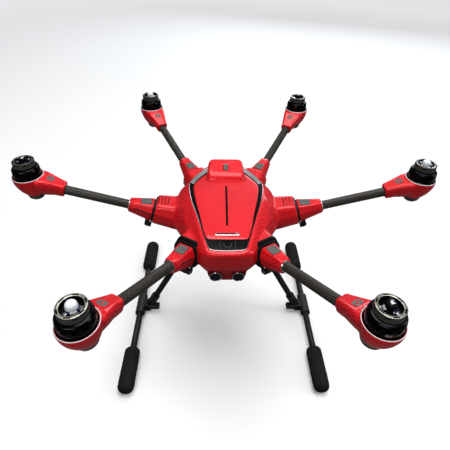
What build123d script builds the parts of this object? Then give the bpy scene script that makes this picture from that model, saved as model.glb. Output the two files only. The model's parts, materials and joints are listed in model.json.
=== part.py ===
"""Folding-arm camera hexacopter with retracting landing gear.

Frame: millimetres, +Z up, -Y towards the nose, origin on the ground under the centre of the motor circle.
Arms are counted by their compass angle from +X: right 0, rear_right 60, rear_left 120, left 180,
front_left 240, front_right 300. An arm's own frame has its origin on the arm's centre line at the
shoulder, +X out along the tilted tube, +Y along the tangent and +Z out of the arm's top face.
"""

from build123d import *
import os
from math import atan2, cos, degrees, hypot, radians, sin

# ---- overall -------------------------------------------------------------------------------------
MOTOR_CIRCLE_R = 240.0  # centre of the aircraft to each motor axis
RIM_Z = 285.0  # height of the motor pods' rims above the ground
ARM_ANGLES = {"right": 0, "rear_right": 60, "rear_left": 120, "left": 180, "front_left": 240, "front_right": 300}
WALL = 1.8  # moulded shells
GAP = 0.3  # between pieces that move past each other
FIT = 0.1  # between pieces that are fixed together

# ---- arms ----------------------------------------------------------------------------------------
ARM_RISE = 16.4  # degrees that the tubes climb outwards
ROOT_R = 90.0  # origin of the arm's own frame
ROOT_Z = RIM_Z - 54.0
SHOULDER_IN = -34.0  # the shoulder runs from here, inside the body,
SHOULDER_OUT = 2.6  # to here, where the end plate is fixed
PLATE_OUT = 4.8
CLAMP_IN = 5.4
CLAMP_OUT = 35.4
TUBE_R = 5.7
TUBE_WALL = 1.0
TUBE_IN = 23.0
TUBE_OUT = 121.0
NECK_IN = 114.5
SEAM_V = 5.7  # the shoulder's joint line between the upper and lower shells
HINGE_S = 8.6  # fold hinge, below the clamp's root
HINGE_V = -16.7
KNUCKLE_R = 3.1
KNUCKLE_HALF = 7.8
LUG_W = 3.0
PIN_R = 1.5
PIN_PLAY = 0.06
BUTTON_TRAVEL = 1.5

# ---- motor pods ----------------------------------------------------------------------------------
POD_R = 18.2
POD_DEPTH = 27.0
POD_SHIFT = 4.0  # the bowl's foot sits this far inboard of the motor axis
CAVITY_R = 16.9
CAVITY_DEPTH = 6.0
BELL_R = 15.8
BELL_TAPER = 2.0
BELL_Z = (1.0, 12.6)
RING_R = 12.4
RING_Z = (13.4, 20.4)
HUB_R = 4.7
HUB_TOP = 25.0
HUB_FOOT_Z = 15.7
SHAFT_R = 2.0
SHAFT_PLAY = 0.06

# ---- body ----------------------------------------------------------------------------------------
SEAM_Z = RIM_Z - 54.0
DECK_APEX = (0.0, 12.0, RIM_Z - 26.5)  # highest point of the domed deck
DECK_R = 760.0
BELLY_Z = RIM_Z - 90.0
TRIM_T = 1.6
PANEL_T = 1.4

# ---- battery -------------------------------------------------------------------------------------
BATTERY_HALF_X = 23.0
BATTERY_Y = (-24.0, 79.0)
BATTERY_Z = (RIM_Z - 85.0, RIM_Z - 60.0)

# ---- landing gear --------------------------------------------------------------------------------
HIP_X = 36.0
HIP_Z = RIM_Z - 105.0
LEG_Y = 21.0
SKID_X = 137.7
PAD_R = 11.0
PAD_FLAT = 0.2  # the soft pads are pressed flat on the ground by this much
SKID_Z = PAD_R - PAD_FLAT
SKID_R = 4.8
FOOT_X = 124.0  # where the strut's line meets the skid's height
STRUT_R = 4.75
SKID_HALF = 148.0
PAD_LEN = 65.0


def mirrored_outline(right_half):
    """A closed outline from its right-hand corners, given from front to rear."""
    return right_half + [(-x, y) for x, y in reversed(right_half)]


def outline_face(right_half, z, radius):
    """A horizontal face with rounded corners."""
    face = Polygon(*mirrored_outline(right_half), align=None)
    return Pos(0, 0, z) * fillet(face.vertices(), radius)


def grown(right_half, amount):
    """The corners moved outwards along both axes, away from the middle of the body."""
    return [(x + amount, y + (amount if y > 0 else -amount)) for x, y in right_half]


def arm_section(points, s, radius):
    """A rounded face across an arm, at distance s along it. Points are (tangent, normal)."""
    face = Polygon(*points, align=None)
    face = fillet(face.vertices(), radius)
    return Plane(origin=(s, 0, 0), x_dir=(0, 1, 0), z_dir=(1, 0, 0)) * face


def mirrored_section(half, s, radius):
    """An arm section from its half with tangent > 0, given from top to bottom."""
    return arm_section(half + [(-t, v) for t, v in reversed(half)], s, radius)


def arm_frame(angle):
    """From an arm's own frame to the aircraft's."""
    return Rot(0, 0, angle) * Pos(ROOT_R, 0, ROOT_Z) * Rot(0, -ARM_RISE, 0)


def pod_frame(angle):
    """From a frame on the motor's axis at the rim, upright and with +X outwards, to the aircraft's."""
    return Rot(0, 0, angle) * Pos(MOTOR_CIRCLE_R, 0, RIM_Z)


def span_box(x, y, z):
    """A box from its ranges in x, y and z."""
    size = [b - a for a, b in (x, y, z)]
    middle = [(a + b) / 2 for a, b in (x, y, z)]
    return Pos(*middle) * Box(*size)


def cylinder_between(a, b, radius):
    """A round bar from point a to point b."""
    a, b = Vector(*a), Vector(*b)
    return Solid.make_cylinder(radius, (b - a).length, Plane(origin=a, z_dir=(b - a)))


def cross_bar(s, v, t_range, radius):
    """In an arm's frame: a round bar along the tangent, at distance s along the arm and height v."""
    return cylinder_between((s, t_range[0], v), (s, t_range[1], v), radius)


# ---- body shells ---------------------------------------------------------------------------------
SEAM_OUTLINE = [(16, -98), (31, -92), (51, -52), (67, -21), (67, 22), (51, 52), (27, 74)]
WAIST_OUTLINE = [(16, -100), (29, -93), (47, -48), (61, -20), (61, 22), (45, 51), (25, 73)]
DECK_OUTLINE = [(12, -99), (24, -93), (38, -40), (45, -8), (48, 25), (34, 55), (23, 71)]
LIP_OUTLINE = [(16, -96), (30, -90), (50, -51), (65, -21), (65, 22), (50, 51), (26, 73)]
FLANK_OUTLINE = [(15, -86), (25, -80), (41, -46), (53, -20), (53, 22), (41, 50), (25, 70)]
BELLY_OUTLINE = [(13, -74), (21, -68), (32, -42), (40, -20), (40, 22), (33, 50), (22, 64)]
OUTLINE_R = 7.0
RECESS_HALF = 18.0


def nose_recesses(inset):
    """The room in the corners of the nose for the front arms' end plates."""
    half = RECESS_HALF + inset
    notch = span_box((SHOULDER_OUT - inset, 60), (-half, half), (-60, 60))
    return fuse([arm_frame(ARM_ANGLES[name]) * notch for name in ("front_left", "front_right")])


def core_upper(inset=0.0):
    """The body above the joint line, domed; inset gives the hollow inside it."""
    levels = [
        (SEAM_OUTLINE, SEAM_Z),
        (WAIST_OUTLINE, SEAM_Z + 15.0),
        (DECK_OUTLINE, SEAM_Z + 25.0),
    ]
    faces = [outline_face(grown(o, -inset), z, OUTLINE_R - inset) for o, z in levels]
    top = extrude(faces[-1], 5.0)
    return ((loft(faces, ruled=True) + top) & deck_ball(-1.6 * inset)) - nose_recesses(inset)


def core_lower(inset=0.0):
    """The body below the joint line; inset gives the hollow inside it."""
    levels = [
        (SEAM_OUTLINE, SEAM_Z),
        (LIP_OUTLINE, SEAM_Z - 8.0),
        (FLANK_OUTLINE, SEAM_Z - 26.0),
        (BELLY_OUTLINE, BELLY_Z),
    ]
    faces = [outline_face(grown(o, -inset), z, OUTLINE_R - inset) for o, z in levels]
    body = loft(faces, ruled=True) - nose_recesses(inset)
    if inset:
        body -= span_box((-99, 99), (-120, 120), (BELLY_Z - 1, BELLY_Z + inset))
    return body


def deck_ball(offset):
    """The ball whose surface is the deck, grown by offset."""
    x, y, z = DECK_APEX
    return Pos(x, y, z - DECK_R) * Sphere(DECK_R + offset)


SHOULDER_HALF = [(12.5, 17.5), (17.4, 5.0), (16.6, -5.0), (11.0, -14.0)]
SHOULDER_ROOT_HALF = [(15.0, 24.0), (21.0, 7.0), (20.0, -5.0), (14.0, -14.0)]


def shoulder(inset=0.0, s_out=SHOULDER_OUT):
    """One shoulder in its arm's frame; inset gives the hollow inside it."""
    faces = []
    for half, s in ((SHOULDER_ROOT_HALF, SHOULDER_IN), (SHOULDER_HALF, s_out)):
        smaller = [(t - inset, v - inset if v > 0 else v + inset) for t, v in half]
        faces.append(mirrored_section(smaller, s, 4.0 - inset))
    return loft(faces, ruled=True)


def all_arms(make):
    """The solids made by make(), one at each arm."""
    return [arm_frame(a) * make() for a in ARM_ANGLES.values()]


def fuse(parts):
    """The parts joined in one."""
    whole = parts[0]
    for p in parts[1:]:
        whole += p
    return whole


def upper_zone(lift=0.0):
    """In an arm's frame: everything above the shoulder's joint line."""
    return span_box((-120, 120), (-60, 60), (SEAM_V + lift, 120))


def above_seam(lift=0.0):
    """Everything above the body's joint line."""
    return span_box((-300, 300), (-300, 300), (SEAM_Z + lift, SEAM_Z + 200))


def shoulder_slits():
    """In an arm's frame: the cooling slits across the top of a side shoulder."""
    slits = [span_box((s, s + 1.4), (-9.0, 10.0), (12.4, 30)) for s in (-16.4, -12.4, -8.4, -4.4)]
    return fuse(slits)


def louvres(side):
    """The slanted cooling cuts in the flank between a side shoulder and the nose."""
    cuts = []
    for row in range(3):
        for step in range(5):
            place = Pos(side * (53.5 + 2.6 * row), -9.0 - 5.0 * step - 2.2 * row, RIM_Z - 44.0)
            cuts.append(place * Rot(0, 0, side * 28) * Box(1.1, 4.2, 30))
    return fuse(cuts)


def hump_footprint(grow=0.0):
    """The base of the cover over the satellite receiver."""
    face = Polygon((-26.5 - grow, 32 - grow), (26.5 + grow, 32 - grow), (24 + grow, 70 + grow),
                   (-24 - grow, 70 + grow), align=None)
    return fillet(face.vertices(), 5.0)


def build_top_shell():
    shell = core_upper() + fuse([arm_frame(a) * (shoulder() & upper_zone()) for a in ARM_ANGLES.values()])
    shell &= above_seam()
    hollow = core_upper(WALL) + fuse(all_arms(lambda: shoulder(WALL, SHOULDER_OUT + 1)))
    shell -= hollow
    shell -= trim_zone() & deck_layer(-TRIM_T - FIT, 3.0)
    shell -= extrude(panel_outline(FIT), RIM_Z) & deck_layer(-PANEL_T - FIT, 3.0)
    for name in ("right", "left"):
        shell -= arm_frame(ARM_ANGLES[name]) * shoulder_slits()
    for side in (-1, 1):
        shell -= louvres(side)
    shell -= button_well(0.0, POWER_Y, POWER_R + GAP)
    return shell


def build_bottom_shell():
    shell = core_lower() + fuse([arm_frame(a) * (shoulder() - upper_zone(-GAP)) for a in ARM_ANGLES.values()])
    below = span_box((-300, 300), (-300, 300), (0, SEAM_Z - GAP))
    outside = fuse([arm_frame(a) * (shoulder() & span_box((-14, 20), (-60, 60), (-60, SEAM_V - GAP)))
                    for a in ARM_ANGLES.values()])
    shell = (shell & below) + (outside - core_upper())
    shell -= core_lower(WALL) + fuse(all_arms(lambda: shoulder(WALL, SHOULDER_OUT + 1)))
    mouth = span_box((-BATTERY_HALF_X - GAP, BATTERY_HALF_X + GAP), (40, 100),
                     (BATTERY_Z[0] - GAP, BATTERY_Z[1] + GAP))
    shell -= mouth + nose_module(-110.0, FIT)
    return max(shell.solids(), key=lambda solid: solid.volume)


# ---- deck: trim band, panel, cover ------------------------------------------------------------------
TRIM_OUTER = [(10, -94.0), (20.5, -90.5), (36.5, -36), (44, -8), (47, 25), (31, 55), (23.5, 61)]
TRIM_INNER = [(10, -78.5), (24, -75.5), (33, -36), (39, -8), (42, 25), (27, 51), (20, 56)]
POWER_Y = -86.0
POWER_R = 3.6


def trim_region():
    """The band's outline seen from above, with its wide front part and open rear ends."""
    outer = fillet(Polygon(*mirrored_outline(TRIM_OUTER), align=None).vertices(), 6.0)
    inner = fillet(Polygon(*mirrored_outline(TRIM_INNER), align=None).vertices(), 6.0)
    return outer - inner - hump_footprint(GAP)


def trim_zone():
    return extrude(trim_region(), RIM_Z)


def deck_layer(low, high):
    """The shell of space between two heights measured from the deck's surface."""
    return deck_ball(high) - deck_ball(low)


def panel_outline(grow=0.0):
    inner = fillet(Polygon(*mirrored_outline(grown(TRIM_INNER, grow - 0.25)), align=None).vertices(), 6.0)
    return inner - hump_footprint(GAP)


def button_well(x, y, radius):
    return Pos(x, y, RIM_Z - 30) * Cylinder(radius, 40)


def vent_ribs():
    """Cuts across the rear ends of the band, which leave its ribs."""
    cuts = []
    for side in (-1, 1):
        for k in range(9):
            share = k / 8
            x, y = 43.2 - 20.0 * share**1.25, 36.0 + 21.5 * share
            turn = side * (8 + 40 * share)
            cuts.append(Pos(side * x, y, RIM_Z - 26.5) * Rot(0, 0, turn) * Box(9.0, 1.25, 3.4))
    return fuse(cuts)


def build_trim_band():
    band = trim_zone() & deck_layer(-TRIM_T, 0.35)
    band -= vent_ribs() & deck_layer(-0.9, 3.0)
    for side in (-1, 1):
        ring = Pos(0, POWER_Y, RIM_Z - 30) * (Cylinder(9.2, 20) - Cylinder(8.4, 20))
        window = span_box((side * 8 - 2.5, side * 8 + 2.5), (POWER_Y - 4.5, POWER_Y + 4.5), (RIM_Z - 40, RIM_Z))
        band -= ring & window & deck_layer(-0.3, 3.0)
    return band - button_well(0.0, POWER_Y, POWER_R + GAP)


def build_top_panel():
    panel = extrude(panel_outline(), RIM_Z) & deck_layer(-PANEL_T, 0.0)
    slot = span_box((-0.9, 0.9), (-58, 21), (RIM_Z - 60, RIM_Z))
    badge = extrude(Pos(0, -71, 0) * RectangleRounded(28, 3.6, 1.2), RIM_Z)
    return panel - ((slot + badge) & deck_layer(-0.6, 3.0))


def build_gps_cover():
    base = RIM_Z - 33.0
    foot = Pos(0, 0, base) * hump_footprint()
    brow = Pos(0, 0, RIM_Z - 22.5) * fillet(Polygon((-24, 34.5), (24, 34.5), (22, 68.5), (-22, 68.5),
                                                    align=None).vertices(), 5.0)
    top = Pos(0, 0, RIM_Z - 15.2) * fillet(Polygon((-19.5, 43), (19.5, 43), (18.5, 66), (-18.5, 66),
                                                   align=None).vertices(), 5.0)
    cover = loft([foot, brow, top], ruled=True)
    hollow = loft([Pos(0, 0, base - 1) * offset(hump_footprint(), -2.2),
                   Pos(0, 0, RIM_Z - 21.5) * RectangleRounded(32, 24, 3).moved(Location((0, 52, 0)))], ruled=True)
    well = extrude(Pos(0, LATCH_Y, RIM_Z - 25) * RectangleRounded(LATCH_SIZE[0] + 2 * GAP, LATCH_SIZE[1] + 2 * GAP, 1.9), 20)
    return (cover - hollow - deck_ball(0.1)) - well


# ---- buttons on the body ------------------------------------------------------------------------------
LATCH_Y = 52.0
LATCH_SIZE = (5.6, 10.5)


def build_battery_latch():
    top = extrude(Pos(0, LATCH_Y, RIM_Z - 19.5) * RectangleRounded(*LATCH_SIZE, 1.6), 5.0)
    flange = extrude(Pos(0, LATCH_Y, RIM_Z - 22.4) * RectangleRounded(LATCH_SIZE[0], LATCH_SIZE[1], 1.6), 2.9)
    return top + flange


def build_power_button():
    """A round cap under the band's hole, with a dimple in its top."""
    surface = button_surface()
    cap = Pos(0, POWER_Y, surface - 1.9) * Cylinder(POWER_R, 4.4)
    dimple = Pos(0, POWER_Y, surface + 0.3) * (Cylinder(1.9, 0.5) - Cylinder(1.1, 0.5))
    return cap - dimple


def button_surface():
    """The deck's height at the power button."""
    y = POWER_Y - DECK_APEX[1]
    return DECK_APEX[2] - DECK_R + (DECK_R**2 - y**2) ** 0.5


# ---- shoulder plates and hinge pins ---------------------------------------------------------------
def build_collar():
    """In an arm's frame: the end plate that closes a shoulder, with the two lugs of the fold hinge."""
    thickness = PLATE_OUT - SHOULDER_OUT - FIT
    plate = extrude(mirrored_section(SHOULDER_HALF, SHOULDER_OUT + FIT, 4.0), thickness, dir=(1, 0, 0))
    t_in = KNUCKLE_HALF + GAP
    for side in (-1, 1):
        ends = sorted((side * t_in, side * (t_in + LUG_W)))
        web = span_box((SHOULDER_OUT + FIT, HINGE_S), ends, (HINGE_V - KNUCKLE_R, HINGE_V + KNUCKLE_R))
        root = span_box((SHOULDER_OUT + FIT, PLATE_OUT), ends, (HINGE_V, HINGE_V + 7))
        plate += web + root + cross_bar(HINGE_S, HINGE_V, ends, KNUCKLE_R)
    passage = cylinder_between((0, 0, 0), (9, 0, 0), 4.5)
    return plate - cross_bar(HINGE_S, HINGE_V, (-20, 20), PIN_R + 0.02) - passage


def build_fold_pin():
    reach = KNUCKLE_HALF + GAP + LUG_W
    return cross_bar(HINGE_S, HINGE_V, (-reach, reach), PIN_R)


# ---- arm ---------------------------------------------------------------------------------------------
CLAMP_ROOT_HALF = [(9.0, 13.0), (13.2, 3.0), (12.2, -6.0), (9.0, -12.9)]
CLAMP_END_HALF = [(5.5, 7.8), (7.9, 1.3), (7.5, -3.0), (5.3, -7.8)]


def build_clamp():
    """In an arm's frame: the root fitting that holds the tube, with the hinge knuckle and button pocket."""
    body = loft([mirrored_section(CLAMP_ROOT_HALF, CLAMP_IN, 1.6),
                 mirrored_section(CLAMP_END_HALF, CLAMP_OUT, 1.6)], ruled=True)
    ends = (-KNUCKLE_HALF, KNUCKLE_HALF)
    body += span_box((HINGE_S - 2.6, HINGE_S + KNUCKLE_R), ends, (HINGE_V, HINGE_V + 6))
    body += cross_bar(HINGE_S, HINGE_V, ends, KNUCKLE_R)
    body -= cross_bar(HINGE_S, HINGE_V, (-20, 20), PIN_R + PIN_PLAY)
    body -= cylinder_between((TUBE_IN - FIT, 0, 0), (CLAMP_OUT + 1, 0, 0), TUBE_R + 0.05)
    body -= cylinder_between((CLAMP_IN - 1, 0, 0), (TUBE_IN + 1, 0, 0), 4.5)
    body -= button_solid(GAP, deeper=BUTTON_TRAVEL + 0.5)
    for side in (-1, 1):
        groove = Polygon((CLAMP_IN - 1, side * 20), (CLAMP_IN - 1, side * 12.0), (28, side * 8.1), (28, side * 20),
                         align=None)
        body -= Pos(0, 0, 1.2) * extrude(groove, 1.5, dir=(0, 0, 1))
    return body


def button_solid(grow=0.0, deeper=0.0):
    """In an arm's frame: the release button, its top following the clamp's sloping top face."""
    s_in, s_out, half_w = 8.4, 21.4, 5.6
    slope = (13.0 - 7.8) / (CLAMP_OUT - CLAMP_IN)
    proud = 0.8 if not grow else 5.0
    top_in = 13.0 - slope * (s_in - CLAMP_IN) + proud
    top_out = 13.0 - slope * (s_out - CLAMP_IN) + proud
    side = Polygon((s_in - grow, 9.2 - deeper), (s_out + grow, 9.2 - deeper), (s_out + grow, top_out),
                   (s_in - grow, top_in), align=None)
    body = extrude(Pos(0, half_w + grow, 0) * Rot(90, 0, 0) * side, 2 * (half_w + grow), dir=(0, -1, 0))
    upright = body.edges().filter_by(Axis.Z)
    return fillet(upright, 1.8 + grow)


def build_button():
    button = button_solid()
    marks = [span_box((s, s + 0.8), (-3.4, 3.4), (10.0, 20)) for s in (13.2, 16.4)]
    top = button_solid() - Pos(0, 0, -0.35) * button_solid()
    return button - (fuse(marks) & top)


def build_tube():
    outer = cylinder_between((TUBE_IN, 0, 0), (TUBE_OUT, 0, 0), TUBE_R)
    return outer - cylinder_between((TUBE_IN - 1, 0, 0), (TUBE_OUT + 1, 0, 0), TUBE_R - TUBE_WALL)


def arm_to_pod(s, v):
    """A point of the arm's frame, given in the pod's upright frame as (x, z)."""
    rise = radians(ARM_RISE)
    x = ROOT_R + s * cos(rise) - v * sin(rise) - MOTOR_CIRCLE_R
    z = ROOT_Z + s * sin(rise) + v * cos(rise) - RIM_Z
    return x, z


def neck_section(x, width, low, high, radius):
    """In the pod's frame: a rounded upright face across the neck."""
    face = RectangleRounded(width, high - low, radius)
    return Plane(origin=(x, 0, (low + high) / 2), x_dir=(0, 1, 0), z_dir=(1, 0, 0)) * face


def build_pod():
    """In the pod's frame: the bowl under the motor and the neck that takes the tube."""
    rings = [(POD_R, 0.0, 0.0), (POD_R - 0.4, 0.25, 7.0), (POD_R - 3.0, 1.6, 16.0),
             (POD_R - 6.6, 3.0, 23.0), (POD_R - 9.4, POD_SHIFT, POD_DEPTH)]
    bowl = loft([Pos(-shift, 0, -depth) * Circle(r) for r, shift, depth in rings])
    x_in, z_in = arm_to_pod(NECK_IN, 0)
    neck = loft([neck_section(x_in, 16.8, z_in - 8.3, z_in + 8.5, 4.5),
                 neck_section(x_in + 9.0, 19.4, z_in - 8.0, z_in + 13.4, 5.0),
                 neck_section(x_in + 19.0, 27.0, z_in - 6.0, -1.6, 6.0),
                 neck_section(x_in + 27.0, 33.0, z_in - 3.6, -0.6, 7.0)])
    pod = bowl + neck
    pod -= Pos(0, 0, -CAVITY_DEPTH / 2 + 5) * Cylinder(CAVITY_R, CAVITY_DEPTH + 10)
    pod -= Pos(0, 0, -CAVITY_DEPTH - 4) * Cylinder(11.0, 8.2)
    return pod


def tube_bore():
    """In an arm's frame: the bore of the pod's neck."""
    bore = cylinder_between((NECK_IN - 6, 0, 0), (TUBE_OUT + FIT, 0, 0), TUBE_R + 0.05)
    return bore + cylinder_between((NECK_IN - 6, 0, 0), (TUBE_OUT + 22, 0, 0), 3.5)


def build_motor_base():
    """In the pod's frame: the fixed half of a motor, its flange, stator and bearing tube."""
    base = Pos(0, 0, (-CAVITY_DEPTH + FIT - 0.4) / 2) * Cylinder(CAVITY_R - FIT, CAVITY_DEPTH - FIT - 0.4)
    post = Pos(0, 0, 3.5) * Cylinder(4.2, 10.0)
    core = Pos(0, 0, 6.2) * Cylinder(7.0, 5.6)
    teeth = [Rot(0, 0, 30 * k) * Pos(9.0, 0, 6.2) * Box(6.4, 2.6, 4.6) for k in range(12)]
    shoes = [Rot(0, 0, 30 * k) * Pos(12.6, 0, 6.2) * Box(1.6, 5.2, 5.2) for k in range(12)]
    motor = base + post + core + fuse(teeth) + fuse(shoes)
    return motor - Pos(0, 0, 4) * Cylinder(SHAFT_R + SHAFT_PLAY, 40)


def build_rotor():
    """In the pod's frame: the turning half of a motor, with the ring and hub that take a propeller."""
    low, high = BELL_Z
    bell = Pos(0, 0, (low + high) / 2) * Cylinder(BELL_R, high - low)
    bell = chamfer(bell.edges().group_by(Axis.Z)[-1], BELL_TAPER)
    bell -= Pos(0, 0, (low + 10.4) / 2 - 0.5) * Cylinder(BELL_R - 1.5, 10.4 - low + 1)
    windows = [Rot(0, 0, 30 * k) * Pos(BELL_R, 0, 7.2) * Box(6.0, 4.6, 2.6) for k in range(12)]
    bell -= fuse(windows)
    bell += Pos(0, 0, (high + RING_Z[0]) / 2) * Cylinder(RING_R - 1.0, RING_Z[0] - high + 0.2)
    ring_mid = (RING_Z[0] + RING_Z[1]) / 2
    ring = Pos(0, 0, ring_mid) * Cylinder(RING_R, RING_Z[1] - RING_Z[0])
    ring -= Pos(0, 0, RING_Z[1]) * Cylinder(RING_R - 3.0, 2 * 4.2)
    keys = [Rot(0, 0, 60 * k + 30) * Pos(RING_R - 1.5, 0, RING_Z[1]) * Box(1.2, 6.0, 3.0) for k in range(6)]
    ring -= fuse(keys)
    spokes = [Rot(0, 0, 120 * k) * Pos(7.6, 0, 17.0) * Box(8.0, 5.0, 2.4) for k in range(3)]
    hub = Pos(0, 0, (HUB_FOOT_Z + HUB_TOP) / 2) * Cylinder(HUB_R, HUB_TOP - HUB_FOOT_Z)
    hub = fillet(hub.edges().group_by(Axis.Z)[-1], 3.4)
    foot = Pos(0, 0, HUB_FOOT_Z + 1.5) * Cylinder(HUB_R + 1.7, 3.0)
    shaft = Pos(0, 0, 3.2) * Cylinder(SHAFT_R, 15.0)
    return bell + ring + fuse(spokes) + hub + foot + shaft


# ---- nose, belly and inside ---------------------------------------------------------------------------
SONAR_Y = -90.0
SONAR_X = 13.0
SONAR_Z = RIM_Z - 75.0
SONAR_R = 7.0
SONAR_BACK = 3.6  # how far behind their front plane the sensors reach
MODULE_TOP = RIM_Z - 62.2
MODULE_BACK = -70.0


def nose_module(y_front, grow=0.0):
    """The nose module's outer form, from y_front back into the body."""
    w, low = 24.0 + grow, grow
    profile = Polygon((-w, 0), (w, 0), (22 + grow, -15), (13 + grow, -20.5 - low), (6, -24 - low),
                      (-6, -24 - low), (-13 - grow, -20.5 - low), (-22 - grow, -15), align=None)
    face = fillet(profile.vertices(), 2.0)
    upright = Pos(0, y_front, MODULE_TOP + grow) * Rot(90, 0, 0) * face
    return extrude(upright, MODULE_BACK - y_front + grow, dir=(0, 1, 0))


def build_sonar_housing():
    """The nose module with an ear round each range sensor, set under the lip."""
    housing = nose_module(SONAR_Y + 0.8)
    for side in (-1, 1):
        ear = cylinder_between((side * SONAR_X, SONAR_Y, SONAR_Z),
                               (side * SONAR_X, SONAR_Y + SONAR_BACK + 0.4, SONAR_Z), 9.0)
        housing += ear & span_box((-60, 60), (-120, 0), (0, MODULE_TOP))
    for side in (-1, 1):
        housing -= cylinder_between((side * SONAR_X, SONAR_Y - 2, SONAR_Z),
                                    (side * SONAR_X, SONAR_Y + SONAR_BACK + FIT, SONAR_Z), SONAR_R + FIT)
    return housing


def build_sonar_sensor(side):
    """A range sensor: a rim round a recessed mesh disc."""
    can = cylinder_between((side * SONAR_X, SONAR_Y - 0.6, SONAR_Z),
                           (side * SONAR_X, SONAR_Y + SONAR_BACK, SONAR_Z), SONAR_R)
    dish = cylinder_between((side * SONAR_X, SONAR_Y - 2, SONAR_Z), (side * SONAR_X, SONAR_Y + 1.4, SONAR_Z),
                            SONAR_R - 1.0)
    boss = cylinder_between((side * SONAR_X, SONAR_Y - 0.2, SONAR_Z), (side * SONAR_X, SONAR_Y + 2, SONAR_Z), 4.4)
    return can - dish + boss


DOCK_X = 15.0
DOCK_Y = (-40.0, -16.0)
DOCK_HOLE_R = 1.25
DOCK_T = 5.0


def build_camera_dock():
    """The plate under the belly that takes a camera gimbal: four screw holes and a socket."""
    y_mid = (DOCK_Y[0] + DOCK_Y[1]) / 2
    plate = extrude(Pos(0, y_mid, BELLY_Z - FIT) * RectangleRounded(40, 34, 5), -DOCK_T)
    for x in (-DOCK_X, DOCK_X):
        for y in DOCK_Y:
            plate -= Pos(x, y, BELLY_Z - FIT - DOCK_T) * Cylinder(DOCK_HOLE_R, 7.0)
    socket = extrude(Pos(0, y_mid, BELLY_Z - FIT - DOCK_T) * RectangleRounded(18, 8, 1.5), 2.5)
    return plate - socket


def build_boards():
    """The control board, a power board, the six speed controllers and the satellite receiver."""
    main = extrude(Pos(0, -22, SEAM_Z + 5) * RectangleRounded(62, 74, 4), 1.6)
    chips = [Pos(x, y, SEAM_Z + 7.5) * Box(w, w, 1.8) for x, y, w in ((-14, -30, 14), (12, -8, 10), (10, -44, 12))]
    receiver = Pos(0, 52, RIM_Z - 25.8) * Box(24, 18, 2.0)
    speed = [arm_frame(a) * (Pos(-16, 0, -3) * Box(22, 14, 3)) for a in ARM_ANGLES.values()]
    return [main + fuse(chips), receiver] + speed


def build_screws():
    """The button-head screws that close the belly."""
    screws = []
    for side in (-1, 1):
        for y in (-50.0, -6.0, 52.0):
            x = side * (24.0 if y < -20 else 34.0 if y < 40 else 26.5)
            head = Pos(x, y, BELLY_Z - FIT - 0.5) * Cylinder(2.6, 1.0)
            screws.append(head - Pos(x, y, BELLY_Z - FIT - 1.0) * Cylinder(1.0, 0.8))
    return screws


# ---- battery ---------------------------------------------------------------------------------------------
def build_battery():
    """The pack that slides in from the rear, with a finger scoop in its end cap."""
    pack = span_box((-BATTERY_HALF_X, BATTERY_HALF_X), BATTERY_Y, BATTERY_Z)
    pack = fillet(pack.edges().filter_by(Axis.Y), 3.0)
    scoop = Pos(0, BATTERY_Y[1] + 5, (BATTERY_Z[0] + BATTERY_Z[1]) / 2) * Cylinder(9, 40)
    ribs = [span_box((-16 + 8 * k, -13.5 + 8 * k), (BATTERY_Y[1] - 1.0, BATTERY_Y[1] + 2),
                     (BATTERY_Z[1] - 8, BATTERY_Z[1] - 3)) for k in range(5)]
    return pack - scoop - fuse(ribs)


# ---- landing gear --------------------------------------------------------------------------------------
HIP_HALF = 5.0
HIP_LUG_W = 4.0
HIP_R = 6.5
HIP_PIN_R = 2.5


def build_leg_bracket(side):
    """The servo housing under the belly with the two lugs of the leg's hinge."""
    x = side * HIP_X
    xs = sorted((x - side * 24, x + side * 5))
    block = span_box(xs, (LEG_Y - 17, LEG_Y + 17), (HIP_Z + 7.6, BELLY_Z - FIT))
    block = fillet(block.edges().filter_by(Axis.Z), 3.0)
    for end in (-1, 1):
        ys = sorted((LEG_Y + end * (HIP_HALF + GAP), LEG_Y + end * (HIP_HALF + GAP + HIP_LUG_W)))
        block += cylinder_between((x, ys[0], HIP_Z), (x, ys[1], HIP_Z), HIP_R)
        block += span_box(sorted((x - side * HIP_R, x + side * 4)), ys, (HIP_Z, HIP_Z + 8.5))
    return block - hip_bar(side, 40, HIP_PIN_R + 0.02)


def hip_bar(side, length, radius):
    """A round bar on the leg's hinge line."""
    x = side * HIP_X
    return cylinder_between((x, LEG_Y - length / 2, HIP_Z), (x, LEG_Y + length / 2, HIP_Z), radius)


def build_hip_pin(side):
    return hip_bar(side, 2 * (HIP_HALF + GAP + HIP_LUG_W), HIP_PIN_R)


def strut_point(side, distance):
    """A point on the strut's line, at a distance down from the hinge."""
    dx, dz = FOOT_X - HIP_X, SKID_Z - HIP_Z
    share = distance / hypot(dx, dz)
    return (side * (HIP_X + dx * share), LEG_Y, HIP_Z + dz * share)


STRUT_LEN = hypot(FOOT_X - HIP_X, SKID_Z - HIP_Z)
STRUT_ENDS = (16.0, STRUT_LEN - 8.0)
SLEEVE_R = 7.8
SLEEVE_HALF = 18.0


def build_strut(side):
    tube = cylinder_between(strut_point(side, STRUT_ENDS[0]), strut_point(side, STRUT_ENDS[1]), STRUT_R)
    hole = cylinder_between(strut_point(side, STRUT_ENDS[0] - 2), strut_point(side, STRUT_ENDS[1] + 2), STRUT_R - 1.0)
    return tube - hole


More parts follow.
